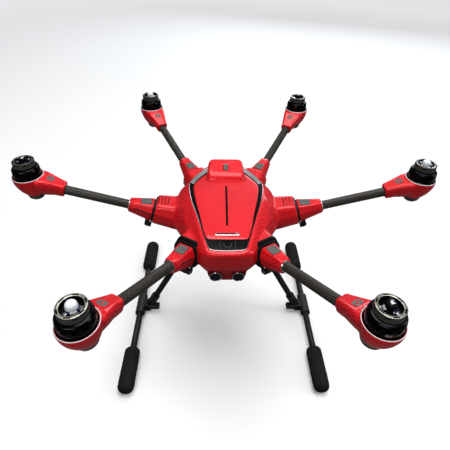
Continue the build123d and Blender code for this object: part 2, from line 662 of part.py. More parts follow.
def build_knuckle(side):
    """The fitting on top of the strut, which turns between the bracket's lugs."""
    knuckle = hip_bar(side, 2 * HIP_HALF, HIP_R)
    socket = cylinder_between(strut_point(side, 5), strut_point(side, 34), STRUT_R + 1.8)
    keep = span_box((-200, 200), (LEG_Y - STRUT_R - 1.8, LEG_Y + STRUT_R + 1.8), (0, 400))
    neck = span_box((-200, 200), (LEG_Y - HIP_HALF, LEG_Y + HIP_HALF), (0, 400))
    near = hip_bar(side, 40, 15.0)
    socket = (socket & keep) - near + (socket & neck & near)
    knuckle += socket
    knuckle -= cylinder_between(strut_point(side, STRUT_ENDS[0] - FIT), strut_point(side, 40), STRUT_R + 0.05)
    return knuckle - hip_bar(side, 40, HIP_PIN_R + PIN_PLAY)


def build_tee(side):
    """The fitting that joins the strut and the skid, with its inboard foot."""
    x = side * SKID_X
    sleeve = cylinder_between((x, LEG_Y - SLEEVE_HALF, SKID_Z), (x, LEG_Y + SLEEVE_HALF, SKID_Z), SLEEVE_R)
    socket = cylinder_between(strut_point(side, STRUT_LEN - 26), strut_point(side, STRUT_LEN - 1), STRUT_R + 2.0)
    bridge = span_box(sorted((x, side * (FOOT_X - 3))), (LEG_Y - 8, LEG_Y + 8), (SKID_Z - 6, SKID_Z + 6))
    foot = span_box(sorted((side * FOOT_X, side * (FOOT_X - 17))), (LEG_Y - 9, LEG_Y + 1), (SKID_Z - 2, SKID_Z + 6))
    tee = sleeve + socket + fillet(bridge.edges().filter_by(Axis.Y), 2.0) + fillet(foot.edges(), 1.5)
    tee -= cylinder_between((x, LEG_Y - 40, SKID_Z), (x, LEG_Y + 40, SKID_Z), SKID_R + 0.05)
    return tee - cylinder_between(strut_point(side, STRUT_LEN - 40), strut_point(side, STRUT_ENDS[1] + FIT),
                                  STRUT_R + 0.05)


def build_skid(side):
    x = side * SKID_X
    reach = SKID_HALF - 6.0
    return (cylinder_between((x, LEG_Y - reach, SKID_Z), (x, LEG_Y + reach, SKID_Z), SKID_R)
            - cylinder_between((x, LEG_Y - 200, SKID_Z), (x, LEG_Y + 200, SKID_Z), SKID_R - 0.9))


def build_pads(side):
    """The two foam grips on a skid, closed at the outer end and flat where they stand."""
    x = side * SKID_X
    pads = []
    for end in (-1, 1):
        outer, inner = LEG_Y + end * SKID_HALF, LEG_Y + end * (SKID_HALF - PAD_LEN)
        pad = Part() + cylinder_between((x, inner, SKID_Z), (x, outer, SKID_Z), PAD_R)
        pad = fillet(pad.edges().filter_by(GeomType.CIRCLE), 5.0)
        pad -= cylinder_between((x, inner - end, SKID_Z), (x, outer - end * 5.5, SKID_Z), SKID_R + 0.05)
        pads.append(pad & span_box((-300, 300), (-300, 300), (0, 60)))
    return pads


def save(name, shape):
    """Writes one node; a list becomes separate solids in it."""
    shapes = shape if isinstance(shape, list) else [shape]
    solids = [s for one in shapes for s in one.solids()]
    export_step(Compound(children=solids) if len(solids) > 1 else solids[0], f"parts/{name}.step")


def main():
    os.makedirs("parts", exist_ok=True)
    save("top_shell", build_top_shell())
    save("bottom_shell", build_bottom_shell())
    save("trim_band", build_trim_band())
    save("top_panel", build_top_panel())
    save("gps_cover", build_gps_cover())
    save("arm_end_plates", all_arms(build_collar))
    save("hinge_pins", all_arms(build_fold_pin) + [build_hip_pin(side) for side in (-1, 1)])
    save("circuit_boards", build_boards())
    save("sonar_housing", build_sonar_housing())
    save("sonar_sensors", [build_sonar_sensor(side) for side in (-1, 1)])
    save("camera_dock", build_camera_dock())
    save("leg_brackets", [build_leg_bracket(side) for side in (-1, 1)])
    save("belly_screws", build_screws())
    save("power_button", build_power_button())
    save("battery", build_battery())
    save("battery_latch", build_battery_latch())
    for name, angle in ARM_ANGLES.items():
        save(f"{name}_arm_clamp", arm_frame(angle) * build_clamp())
        save(f"{name}_release_button", arm_frame(angle) * build_button())
        save(f"{name}_arm_tube", arm_frame(angle) * build_tube())
        save(f"{name}_motor_pod", pod_frame(angle) * build_pod() - arm_frame(angle) * tube_bore())
        save(f"{name}_motor_base", pod_frame(angle) * build_motor_base())
        save(f"{name}_rotor", pod_frame(angle) * build_rotor())
    for name, side in (("left", -1), ("right", 1)):
        save(f"{name}_leg_strut", build_strut(side))
        save(f"{name}_leg_fittings", [build_knuckle(side), build_tee(side)])
        save(f"{name}_skid_tube", build_skid(side))
        save(f"{name}_foam_pads", build_pads(side))


main()
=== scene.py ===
import bmesh
import bpy
import json
from math import atan2, cos, hypot, pi, radians, sin
from mathutils import Matrix, Vector
from mathutils.bvhtree import BVHTree


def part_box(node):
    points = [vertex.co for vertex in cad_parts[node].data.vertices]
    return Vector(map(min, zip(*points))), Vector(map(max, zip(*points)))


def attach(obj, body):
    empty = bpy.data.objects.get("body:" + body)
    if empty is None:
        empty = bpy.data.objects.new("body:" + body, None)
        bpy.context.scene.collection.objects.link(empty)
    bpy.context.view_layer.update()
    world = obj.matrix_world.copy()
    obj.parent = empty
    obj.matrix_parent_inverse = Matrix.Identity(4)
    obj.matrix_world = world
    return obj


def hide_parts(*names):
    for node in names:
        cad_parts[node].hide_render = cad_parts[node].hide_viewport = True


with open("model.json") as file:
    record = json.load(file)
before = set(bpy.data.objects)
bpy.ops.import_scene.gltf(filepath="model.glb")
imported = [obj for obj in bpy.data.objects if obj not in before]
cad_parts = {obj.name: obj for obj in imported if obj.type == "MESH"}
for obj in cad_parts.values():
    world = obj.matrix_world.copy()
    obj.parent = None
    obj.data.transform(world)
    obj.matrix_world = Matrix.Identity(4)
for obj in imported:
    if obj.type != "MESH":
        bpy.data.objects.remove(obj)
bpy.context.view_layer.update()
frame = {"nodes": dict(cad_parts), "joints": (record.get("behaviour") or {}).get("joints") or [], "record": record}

# Lengths are millimetres in this file, and MM turns them into Blender's metres.
MM = 0.001

# ---- places taken from the frame -----------------------------------------------------------------
JOINTS = {joint["name"]: joint for joint in frame["joints"]}
ARMS = ["right", "rear_right", "rear_left", "left", "front_left", "front_right"]
SIDES = {"left": -1, "right": 1}


def joint_place(name):
    """A joint's origin in millimetres."""
    return Vector(JOINTS[name]["pos_m"]) / MM


def arm_angle(name):
    """An arm's direction from +X, in radians."""
    place = joint_place(f"{name}_arm_fold")
    return atan2(place.y, place.x)


def low(node):
    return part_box(node)[0] / MM


def high(node):
    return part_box(node)[1] / MM


ARM_RISE = radians(16.4)
ROOT_R = 90.0
RIM_Z = high("right_motor_pod").z
MOTOR_CIRCLE_R = (high("right_rotor").x + low("right_rotor").x) / 2
ROOT_Z = RIM_Z - 54.0
SEAM_Z = RIM_Z - 54.0
BELLY_Z = low("bottom_shell").z


def placed(x, y, z):
    """A shift in millimetres."""
    return Matrix.Translation(Vector((x, y, z)) * MM)


def arm_matrix(name):
    """From an arm's own frame, with +X out along the tube, to the aircraft's."""
    turn = Matrix.Rotation(arm_angle(name), 4, "Z")
    return turn @ placed(ROOT_R, 0, ROOT_Z) @ Matrix.Rotation(-ARM_RISE, 4, "Y")


def pod_matrix(name):
    """From a frame on the motor's axis at the rim, upright with +X outwards, to the aircraft's."""
    return Matrix.Rotation(arm_angle(name), 4, "Z") @ placed(MOTOR_CIRCLE_R, 0, RIM_Z)


# ---- camera, lights and floor ---------------------------------------------------------------------
CAMERA_AT = Vector((-13.3, -386.0, RIM_Z + 252.3))
CAMERA_DOWN = 0.6496
CAMERA_YAW = -0.0309
CAMERA_ROLL = 0.0243


def make_camera():
    data = bpy.data.cameras.new("camera")
    data.lens = 30.16
    data.sensor_width = 36.0
    data.shift_y = -0.0489
    data.clip_start = 0.01
    camera = bpy.data.objects.new("camera", data)
    bpy.context.scene.collection.objects.link(camera)
    turn = Matrix.Rotation(CAMERA_YAW, 4, "Z") @ Matrix.Rotation(pi / 2 - CAMERA_DOWN, 4, "X")
    camera.matrix_world = Matrix.Translation(CAMERA_AT * MM) @ turn @ Matrix.Rotation(CAMERA_ROLL, 4, "Z")
    bpy.context.scene.camera = camera


def area_light(name, at, aim, size, power, colour=(1, 1, 1)):
    """A rectangular softbox at a point in metres, facing another."""
    data = bpy.data.lights.new(name, "AREA")
    data.shape = "RECTANGLE"
    data.size, data.size_y = size
    data.energy = power
    data.color = colour
    lamp = bpy.data.objects.new(name, data)
    bpy.context.scene.collection.objects.link(lamp)
    lamp.location = at
    lamp.rotation_euler = (Vector(aim) - Vector(at)).to_track_quat("-Z", "Y").to_euler()


def make_lights():
    world = bpy.data.worlds.new("studio")
    world.use_nodes = True
    background = world.node_tree.nodes["Background"]
    background.inputs["Color"].default_value = (0.93, 0.96, 1.0, 1)
    background.inputs["Strength"].default_value = 0.12
    bpy.context.scene.world = world
    bpy.context.scene.view_settings.view_transform = "Standard"
    area_light("overhead", (0.1, 0.15, 1.9), (0, 0, 0.2), (1.6, 1.1), 30)
    area_light("front", (-0.7, -1.7, 1.25), (0, 0, 0.2), (1.3, 0.5), 13, (1.0, 0.97, 0.95))
    area_light("rear", (0.7, 1.9, 1.0), (0, 0, 0.25), (1.8, 0.5), 13, (0.86, 0.92, 1.0))
    area_light("right", (1.7, -0.2, 0.9), (0, 0, 0.2), (0.4, 1.3), 8, (0.93, 0.96, 1.0))


# ---- material nodes ------------------------------------------------------------------------------
class Nodes:
    """A material's nodes, with short ways to wire them."""

    def __init__(self, name, **shader):
        self.material = bpy.data.materials.new(name)
        self.material.use_nodes = True
        self.tree = self.material.node_tree
        self.shader = self.tree.nodes["Principled BSDF"]
        for socket, value in shader.items():
            self.shader.inputs[socket.replace("_", " ")].default_value = value

    def add(self, kind, inputs=(), **settings):
        """A node with its settings, its inputs given as {socket: value or output}."""
        node = self.tree.nodes.new(kind)
        for key, value in settings.items():
            setattr(node, key, value)
        for socket, value in dict(inputs).items():
            self.put(node.inputs[socket], value)
        return node

    def put(self, socket, value):
        if isinstance(value, bpy.types.NodeSocket):
            self.tree.links.new(value, socket)
        else:
            socket.default_value = value

    def math(self, operation, *values):
        return self.add("ShaderNodeMath", dict(enumerate(values)), operation=operation).outputs[0]

    def weighted(self, *terms):
        """The sum of (value, weight) pairs."""
        total = 0.0
        for value, weight in reversed(terms):
            total = self.math("MULTIPLY_ADD", value, weight, total)
        return total

    def pick(self, share, a, b):
        """The first value where share is 0, the second where it is 1."""
        return self.add("ShaderNodeMix", {0: share, 2: a, 3: b}, data_type="FLOAT").outputs[0]

    def local(self):
        """The piece's own coordinates, in millimetres, as three outputs."""
        where = self.add("ShaderNodeTexCoord").outputs["Object"]
        scaled = self.add("ShaderNodeVectorMath", {0: where, 1: (1 / MM,) * 3},
                          operation="MULTIPLY").outputs[0]
        return scaled, self.add("ShaderNodeSeparateXYZ", {0: scaled}).outputs

    def noise(self, vector, scale, detail, roughness=0.5):
        inputs = {"Vector": vector, "Scale": scale, "Detail": detail, "Roughness": roughness}
        return self.add("ShaderNodeTexNoise", inputs).outputs["Fac"]

    def ramp(self, value, stops):
        """A colour ramp from (position, colour) pairs."""
        node = self.add("ShaderNodeValToRGB", {0: value})
        elements = node.color_ramp.elements
        for element, (position, colour) in zip(elements, stops):
            element.position, element.color = position, (*colour, 1)
        for position, colour in stops[2:]:
            elements.new(position).color = (*colour, 1)
        return node.outputs["Color"]

    def span(self, value, lowest, highest):
        """A value from 0 to 1 remapped to a range."""
        inputs = {0: value, 3: lowest, 4: highest}
        return self.add("ShaderNodeMapRange", inputs).outputs[0]

    def mix(self, share, a, b):
        """A blend of two colours."""
        node = self.add("ShaderNodeMix", data_type="RGBA")
        self.put(node.inputs[0], share)
        self.put(node.inputs[6], a if isinstance(a, bpy.types.NodeSocket) else (*a, 1))
        self.put(node.inputs[7], b if isinstance(b, bpy.types.NodeSocket) else (*b, 1))
        return node.outputs[2]

    def bump(self, height, distance, strength):
        inputs = {"Height": height, "Distance": distance * MM, "Strength": strength}
        return self.add("ShaderNodeBump", inputs).outputs["Normal"]

    def wire(self, **sockets):
        for socket, value in sockets.items():
            self.put(self.shader.inputs[socket.replace("_", " ")], value)
        return self.material


def twill(nodes, u, v, pitch):
    """A two-by-two twill: (height, share of the warp that shows), from surface coordinates in mm."""
    u, v = nodes.math("DIVIDE", u, pitch), nodes.math("DIVIDE", v, pitch)
    column, row = nodes.math("FLOOR", u), nodes.math("FLOOR", v)
    step = nodes.math("FLOORED_MODULO", nodes.math("SUBTRACT", column, row), 4.0)
    warp = nodes.math("LESS_THAN", step, 1.5)

    def tow(across, along, offset):
        """The rounded top of one run of a tow, from 0 to 1."""
        round_across = nodes.math("SINE", nodes.math("MULTIPLY", nodes.math("FRACT", across), pi))
        run = nodes.math("FLOORED_MODULO", nodes.math("ADD", along, offset), 4.0)
        arched = nodes.math("ABSOLUTE", nodes.math("SINE", nodes.math("MULTIPLY", run, pi / 2)))
        return nodes.math("MULTIPLY", nodes.math("POWER", round_across, 0.6),
                          nodes.math("MULTIPLY_ADD", nodes.math("POWER", arched, 0.5), 0.5, 0.5))

    warp_top = tow(u, v, column)
    weft_top = tow(v, u, row)
    return nodes.pick(warp, weft_top, warp_top), warp


def faced(nodes, where):
    """Surface coordinates (u, v) on the plane that the surface faces most."""
    normal = nodes.add("ShaderNodeTexCoord").outputs["Normal"]
    size = [nodes.math("ABSOLUTE", axis) for axis in nodes.add("ShaderNodeSeparateXYZ", {0: normal}).outputs]
    top = nodes.math("GREATER_THAN", size[2],
                     nodes.math("MULTIPLY", nodes.math("MAXIMUM", size[0], size[1]), 0.75))
    side = nodes.math("GREATER_THAN", size[0], size[1])

    u = nodes.pick(top, nodes.pick(side, where[0], where[1]), where[0])
    return u, nodes.pick(top, where[2], where[1])


def woven_red(name, pitch=1.4, turn=0.0, share=1.0):
    """Red woven wrap under a thick clear coat, its weave coloured with painted sheen and painted shade."""
    nodes = Nodes(name, Metallic=0.3, IOR=1.45, Specular_IOR_Level=0.2, Coat_Weight=0.5, Coat_Roughness=0.06)
    scaled, axes = nodes.local()
    if turn:
        spun = nodes.add("ShaderNodeVectorRotate", {"Vector": scaled, "Angle": turn}, rotation_type="Z_AXIS")
        axes = nodes.add("ShaderNodeSeparateXYZ", {0: spun.outputs[0]}).outputs
    u, v = faced(nodes, axes)
    height, warp = twill(nodes, u, v, pitch)
    fibre = nodes.noise(scaled, 0.9, 3.0)
    blotch = nodes.noise(scaled, 0.03, 2.0)
    # Painted light: warp tows are coloured lighter than weft tows (a painted sheen), tow crowns lighter (painted
    # highlight) and the tows' edges darker (painted shade between tows); the fibre noise is the wrap's own tone.
    painted_sheen_shade_and_fibre = nodes.weighted((warp, 0.38), (height, 0.40), (fibre, 0.24))
    stops = [(0.05, (0.30, 0.003, 0.008)), (0.95, (1.0, 0.020, 0.030)), (0.45, (0.80, 0.008, 0.016))]
    # share below 1 darkens the whole colour, which makes a painted-shade copy of the wrap.
    colour = nodes.ramp(painted_sheen_shade_and_fibre, [(at, tuple(share * level for level in tone)) for at, tone in stops])
    dim = nodes.ramp(blotch, [(0.3, (0.86, 0.8, 0.8)), (0.7, (1.0, 1.0, 1.0))])
    colour = nodes.add("ShaderNodeMix", {0: 1.0, 6: colour, 7: dim}, data_type="RGBA",
                       blend_type="MULTIPLY").outputs[2]
    rough = nodes.span(nodes.weighted((warp, 0.5), (fibre, 0.5)), 0.24, 0.46)
    return nodes.wire(Base_Color=colour, Roughness=rough, Normal=nodes.bump(height, 0.35, 0.55))


def carbon_weave(name, radius, pitch, share):
    """Braided carbon tube along its own X axis, under resin, its braid coloured with painted glints and painted
    shade.
    """
    nodes = Nodes(name, IOR=1.45, Specular_IOR_Level=0.15, Coat_Weight=0.2, Coat_Roughness=0.12)
    scaled, axes = nodes.local()
    around = nodes.math("MULTIPLY", nodes.math("ARCTAN2", axes[1], axes[2]), radius)
    height, warp = twill(nodes, axes[0], around, pitch)
    fibre = nodes.noise(scaled, 1.4, 3.0)
    # Painted light: warp tows and tow crowns are coloured lighter, up to a golden-brown painted glint, and the
    # tows' edges darker as painted shade; the fibre noise is the braid's own tone.
    painted_sheen_shade_and_fibre = nodes.weighted((warp, 0.45), (height, 0.3), (fibre, 0.25))
    # The golden-brown top tone is a painted glint, scaled by share.
    painted_glint_tone = tuple(share * level for level in (0.15, 0.13, 0.10))
    colour = nodes.ramp(painted_sheen_shade_and_fibre, [(0.3, (0.003, 0.003, 0.003)), (0.95, painted_glint_tone), (0.65, (0.014, 0.013, 0.011))])
    rough = nodes.span(painted_sheen_shade_and_fibre, 0.42, 0.2)
    return nodes.wire(Base_Color=colour, Roughness=rough, Normal=nodes.bump(height, 0.3, 0.6))


def speckled(name, dark, light, rough, grain, metallic=0.0, coat=0.0, coat_rough=0.1, on_edges=None, gloss=0.4):
    """A plain moulded, painted or turned finish: two close colours, uneven gloss and fine grain."""
    nodes = Nodes(name, Metallic=metallic, Specular_IOR_Level=gloss, Coat_Weight=coat,
                  Coat_Roughness=coat_rough)
    scaled, _ = nodes.local()
    cloud = nodes.noise(scaled, 0.05, 3.0)
    fine = nodes.noise(scaled, 2.4, 3.0, 0.6)
    mixed = nodes.weighted((cloud, 0.6), (fine, 0.4))
    colour = nodes.ramp(mixed, [(0.3, dark), (0.7, light)])
    # Sharp convex edges, found by pointiness, are coloured lighter.
    if on_edges:
        edge = nodes.add("ShaderNodeNewGeometry").outputs["Pointiness"]
        share = nodes.ramp(edge, [(0.52, (0, 0, 0)), (0.62, (1, 1, 1))])
        colour = nodes.mix(nodes.math("MULTIPLY", share, nodes.span(fine, 0.2, 0.8)), colour, on_edges)
    return nodes.wire(Base_Color=colour, Roughness=nodes.span(mixed, rough * 0.75, min(1.0, rough * 1.3)),
                      Normal=nodes.bump(fine, grain, 0.6))


def brushed(name, dark, light, rough, around_z=True):
    """Turned metal: fine rings about the piece's own Z axis."""
    nodes = Nodes(name, Metallic=1.0, IOR=1.6)
    scaled, axes = nodes.local()
    radius = nodes.math("SQRT", nodes.math("ADD", nodes.math("MULTIPLY", axes[0], axes[0]),
                                           nodes.math("MULTIPLY", axes[1], axes[1])))
    stretched = nodes.add("ShaderNodeCombineXYZ", {0: radius, 1: axes[2], 2: 0.0}).outputs[0]
    lines = nodes.noise(stretched if around_z else scaled, 6.0, 3.0, 0.7)
    cloud = nodes.noise(scaled, 0.12, 2.0)
    colour = nodes.ramp(nodes.weighted((lines, 0.6), (cloud, 0.4)), [(0.3, dark), (0.7, light)])
    return nodes.wire(Base_Color=colour, Roughness=nodes.span(lines, rough * 0.7, rough * 1.4),
                      Normal=nodes.bump(lines, 0.02, 0.5))


def foam_material():
    """Closed-cell foam: pores and a dusty bloom."""
    nodes = Nodes("foam_pores", IOR=1.35, Specular_IOR_Level=0.15)
    scaled, _ = nodes.local()
    pores = nodes.add("ShaderNodeTexVoronoi",
                      {"Vector": scaled, "Scale": 1.5, "Randomness": 1.0}).outputs["Distance"]
    cloud = nodes.noise(scaled, 0.08, 4.0, 0.6)
    colour = nodes.ramp(nodes.weighted((pores, 0.5), (cloud, 0.6)),
                        [(0.2, (0.004, 0.004, 0.004)), (0.8, (0.020, 0.020, 0.019))])
    return nodes.wire(Base_Color=colour, Roughness=nodes.span(cloud, 0.78, 0.98),
                      Normal=nodes.bump(pores, 0.25, 0.5))


MATERIALS = {
    "red": woven_red("red_twill", 1.35),
    "red_arm": woven_red("red_twill_arm", 1.35, 0.35),
    # A painted-shade copy of the red wrap, at 0.45 of its colour.
    "red_dark": woven_red("red_twill_painted_shade", share=0.45),
    "carbon": carbon_weave("carbon_braid", 5.7, 0.8, 1.0),
    "carbon_dark": carbon_weave("carbon_dark", 4.8, 1.3, 0.25),
    "gloss_black": speckled("gloss_black", (0.002, 0.002, 0.002), (0.006, 0.006, 0.007), 0.30, coat=0.02,
                            coat_rough=0.05, grain=0.01, gloss=0.04),
    "satin_black": speckled("satin_black", (0.003, 0.003, 0.003), (0.012, 0.012, 0.013), 0.44, grain=0.04,
                            on_edges=(0.04, 0.04, 0.043), gloss=0.25),
    "grey_button": speckled("grey_button", (0.060, 0.068, 0.063), (0.115, 0.125, 0.115), 0.42, grain=0.04,
                            on_edges=(0.26, 0.27, 0.26)),
    "motor_black": brushed("motor_black", (0.004, 0.004, 0.005), (0.018, 0.018, 0.021), 0.2),
    "silver": brushed("silver_turned", (0.42, 0.43, 0.45), (0.85, 0.86, 0.88), 0.16),
    "olive_silver": brushed("ring_silver", (0.26, 0.25, 0.21), (0.52, 0.50, 0.43), 0.32),
    "ring_grey": speckled("ring_grey", (0.030, 0.031, 0.026), (0.062, 0.063, 0.053), 0.38, grain=0.02),
    # Partly real, partly painted: the silver hubs are silver, but this near-white, faintly blue, hardly metallic
    # colour is a painted reflection on the hubs and a painted glint on the pods' rim beads.
    "silver_painted_glint": speckled("silver_painted_glint", (0.82, 0.86, 0.93), (0.96, 0.98, 1.0), 0.3, metallic=0.1,
                           grain=0.01),
    # Near-black, for the sheets of painted shade under the vents.
    "painted_shade_grey": speckled("painted_shade_grey", (0.005, 0.005, 0.005), (0.014, 0.012, 0.012), 0.7, grain=0.03,
                         gloss=0.1),
    "pale_metal": speckled("pale_metal", (0.42, 0.42, 0.42), (0.66, 0.66, 0.66), 0.5, metallic=0.2,
                           grain=0.02),
    "copper": brushed("copper_wire", (0.30, 0.08, 0.03), (0.85, 0.30, 0.12), 0.28),
    "lens": speckled("smoked_lens", (0.010, 0.010, 0.012), (0.030, 0.030, 0.034), 0.08, coat=1.0,
                     coat_rough=0.02, grain=0.005),
    "dish_blue": speckled("dish_blue", (0.004, 0.006, 0.030), (0.010, 0.016, 0.085), 0.18, coat=1.0,
                          coat_rough=0.05, grain=0.01),
    "sensor_disc": speckled("sensor_disc", (0.002, 0.002, 0.005), (0.006, 0.007, 0.016), 0.2, coat=0.2,
                            coat_rough=0.03, grain=0.02, gloss=0.2),
    "steel": brushed("steel_pin", (0.35, 0.35, 0.36), (0.65, 0.65, 0.67), 0.30, around_z=False),
    "board": speckled("circuit_board", (0.006, 0.05, 0.02), (0.012, 0.09, 0.04), 0.35, grain=0.03),
    "foam": foam_material(),
}
FINISH_SLOT = {"red": "red_weave", "red_arm": "red_weave", "satin_black": "matte_black",
               "painted_shade_grey": "matte_black",
               "gloss_black": "gloss_black", "lens": "gloss_black", "sensor_disc": "gloss_black",
               "grey_button": "grey_button", "motor_black": "motor_black", "ring_grey": "motor_black",
               "dish_blue": "motor_black", "silver": "steel", "olive_silver": "steel", "silver_painted_glint": "steel",
               "pale_metal": "steel", "copper": "steel", "carbon": "carbon", "carbon_dark": "carbon",
               "foam": "foam"}
# The red slot's CAD nodes take the painted-shade copy of the red wrap.
SLOT_MATERIAL = {"red_weave": "red_dark", "gloss_black": "gloss_black", "carbon": "satin_black",
                 "grey_button": "grey_button", "motor_black": "motor_black", "foam": "foam",
                 "matte_black": "satin_black", "steel": "steel", "board_green": "board"}


def floor_material():
    nodes = Nodes("pale_floor", IOR=1.45)
    scaled, _ = nodes.local()
    cloud = nodes.noise(scaled, 0.0015, 3.0)
    grain = nodes.noise(scaled, 0.4, 2.0)
    colour = nodes.ramp(cloud, [(0.3, (0.93, 0.93, 0.92)), (0.7, (0.96, 0.96, 0.955))])
    # Painted shade: rays other than the camera's see the floor nearly black (0.09), so it throws no bounce light
    # or reflection onto the body's undersides; the camera sees the pale floor.
    seen = nodes.add("ShaderNodeLightPath").outputs["Is Camera Ray"]
    colour = nodes.mix(seen, (0.09, 0.09, 0.095), colour)
    # Painted light: the floor glows for the camera only, 0.08 in the middle and rising with distance to 0.62,
    # which lightens the shadow under the drone and the far floor.
    reach = nodes.add("ShaderNodeVectorMath", {0: scaled}, operation="LENGTH").outputs["Value"]
    painted_floor_glow = nodes.span(nodes.math("MULTIPLY_ADD", reach, 1 / 2600, -0.2), 0.08, 0.62)
    nodes.wire(Emission_Color=(0.97, 0.98, 1.0, 1.0), Emission_Strength=nodes.math("MULTIPLY", seen, painted_floor_glow))
    return nodes.wire(Base_Color=colour, Roughness=nodes.span(grain, 0.5, 0.62),
                      Normal=nodes.bump(grain, 0.02, 0.3))


def make_floor():
    half = 6.0
    mesh = bpy.data.meshes.new("floor")
    mesh.from_pydata([(-half, -half, 0), (half, -half, 0), (half, half, 0), (-half, half, 0)], [],
                     [(0, 1, 2, 3)])
    mesh.materials.append(floor_material())
    floor = bpy.data.objects.new("floor", mesh)
    bpy.context.scene.collection.objects.link(floor)


# ---- mesh building --------------------------------------------------------------------------------
BOX_FACES = [(0, 1, 3, 2), (4, 6, 7, 5), (0, 4, 5, 1), (2, 3, 7, 6), (0, 2, 6, 4), (1, 5, 7, 3)]
TANGENT_PULL = 0.42
THREAD_SIDES = 8
BEAD_SIDES = 10
BAR_SIDES = 32
BORE_SIDES = 48


def to_mesh(name, points, faces):
    """A mesh from points in millimetres."""
    mesh = bpy.data.meshes.new(name)
    mesh.from_pydata([Vector(p) * MM for p in points], [], faces)
    mesh.validate()
    return mesh


def ringed(rings, closed_ends=(True, True)):
    """Points and faces of a tube of quads through rings of equally many points."""
    count = len(rings[0])
    points = [p for ring in rings for p in ring]
    faces = []
    for r in range(len(rings) - 1):
        for k in range(count):
            a, b = r * count + k, r * count + (k + 1) % count
            faces.append((a, b, b + count, a + count))
    if closed_ends[0]:
        faces.append(tuple(reversed(range(count))))
    if closed_ends[1]:
        faces.append(tuple(range((len(rings) - 1) * count, len(rings) * count)))
    return points, faces


def circle(count):
    """Cosine and sine of evenly spaced angles round a turn."""
    return [(cos(2 * pi * k / count), sin(2 * pi * k / count)) for k in range(count)]


def turned(profile, segments):
    """Points and faces of a closed solid turned about Z from (radius, height) pairs, low end first."""
    return ringed([[(r * c, r * s, z) for c, s in circle(segments)] for r, z in profile])


def spline_loop(corners, samples):
    """Points of a smooth closed curve through corners."""
    count = len(corners)
    loop = []
    for k in range(samples):
        at = k * count / samples
        i, f = int(at), at - int(at)
        p = [Vector(corners[(i + step) % count]) for step in (-1, 0, 1, 2)]
        a, b = (p[2] - p[0]) * TANGENT_PULL, (p[3] - p[1]) * TANGENT_PULL
        shorter = (p[2] - p[1]).length
        for tangent in (a, b):
            if tangent.length > shorter:
                tangent *= shorter / tangent.length
        h = 2 * f**3 - 3 * f**2 + 1
        loop.append(h * p[1] + (f**3 - 2 * f**2 + f) * a + (1 - h) * p[2] + (f**3 - f**2) * b)
    return loop


def mirrored(half):
    """A closed outline from its right-hand corners, given from front to rear."""
    return half + [(-x, y) for x, y in reversed(half)]


def between(first, second, share):
    """The half section that lies a share of the way from the first to the second."""
    return [(a + (c - a) * share, b + (d - b) * share) for (a, b), (c, d) in zip(first, second)]


def trapezoid(front_x, front_y, rear_x, rear_y):
    """Corners of an outline that is the same on both sides of x = 0."""
    return [(-front_x, front_y), (front_x, front_y), (rear_x, rear_y), (-rear_x, rear_y)]


def rounded_corners(corners, radius, steps=5):
    """A closed outline with each corner turned into an arc of the given radius or less."""
    loop = []
    count = len(corners)
    for i in range(count):
        before, here, after = (Vector(corners[(i + step) % count]) for step in (-1, 0, 1))
        a, b = (before - here), (after - here)
        half = a.angle(b) / 2
        reach = min(radius / max(0.05, abs(sin(half) / cos(half))), 0.45 * a.length, 0.45 * b.length)
        a, b = here + a.normalized() * reach, here + b.normalized() * reach
        for k in range(steps + 1):
            f = k / steps
            loop.append(a * (1 - f) ** 2 + here * 2 * f * (1 - f) + b * f**2)
    return loop


def inside(x, y, loop):
    """True if a point lies in a closed outline."""
    hit = False
    for (x0, y0), (x1, y1) in zip(loop, loop[1:] + loop[:1]):
        if (y0 > y) != (y1 > y) and x < (x1 - x0) * (y - y0) / (y1 - y0) + x0:
            hit = not hit
    return hit


def solid_mesh(name, *parts):
    """One mesh from several (points, faces) in millimetres."""
    points, faces = [], []
    for part_points, part_faces in parts:
        faces += [tuple(i + len(points) for i in face) for face in part_faces]
        points += list(part_points)
    return to_mesh(name, points, faces)


def applied(mesh, **modifiers):
    """The mesh after modifiers, given as TYPE={setting: value}, are applied in turn."""
    carrier = bpy.data.objects.new("carrier", mesh)
    bpy.context.scene.collection.objects.link(carrier)
    for kind, settings in modifiers.items():
        modifier = carrier.modifiers.new(kind, kind.split("__")[0])
        for key, value in settings.items():
            setattr(modifier, key, value)
    bpy.context.view_layer.update()
    evaluated = carrier.evaluated_get(bpy.context.evaluated_depsgraph_get())
    result = bpy.data.meshes.new_from_object(evaluated)
    bpy.data.objects.remove(carrier)
    return result


def cut(mesh, cutter):
    """The mesh less the cutter."""
    tool = bpy.data.objects.new("tool", cutter)
    bpy.context.scene.collection.objects.link(tool)
    result = applied(mesh, BOOLEAN={"operation": "DIFFERENCE", "solver": "EXACT", "object": tool})
    bpy.data.objects.remove(tool)
    return result


def blended(name, parts, voxel, rounds):
    """The parts melted into one closed skin with soft joins, voxel in millimetres."""
    mesh = solid_mesh(name, *parts)
    return applied(mesh, REMESH={"mode": "VOXEL", "voxel_size": voxel * MM},
                   SMOOTH={"factor": 0.5, "iterations": rounds})


def boxed(x, y, z, turn=None):
    """A plain block's points and faces from its ranges, for cutting with; turn is a matrix in millimetres."""
    points = [Vector((a, b, c)) for a in x for b in y for c in z]
    if turn:
        points = [turn @ p for p in points]
    return points, BOX_FACES


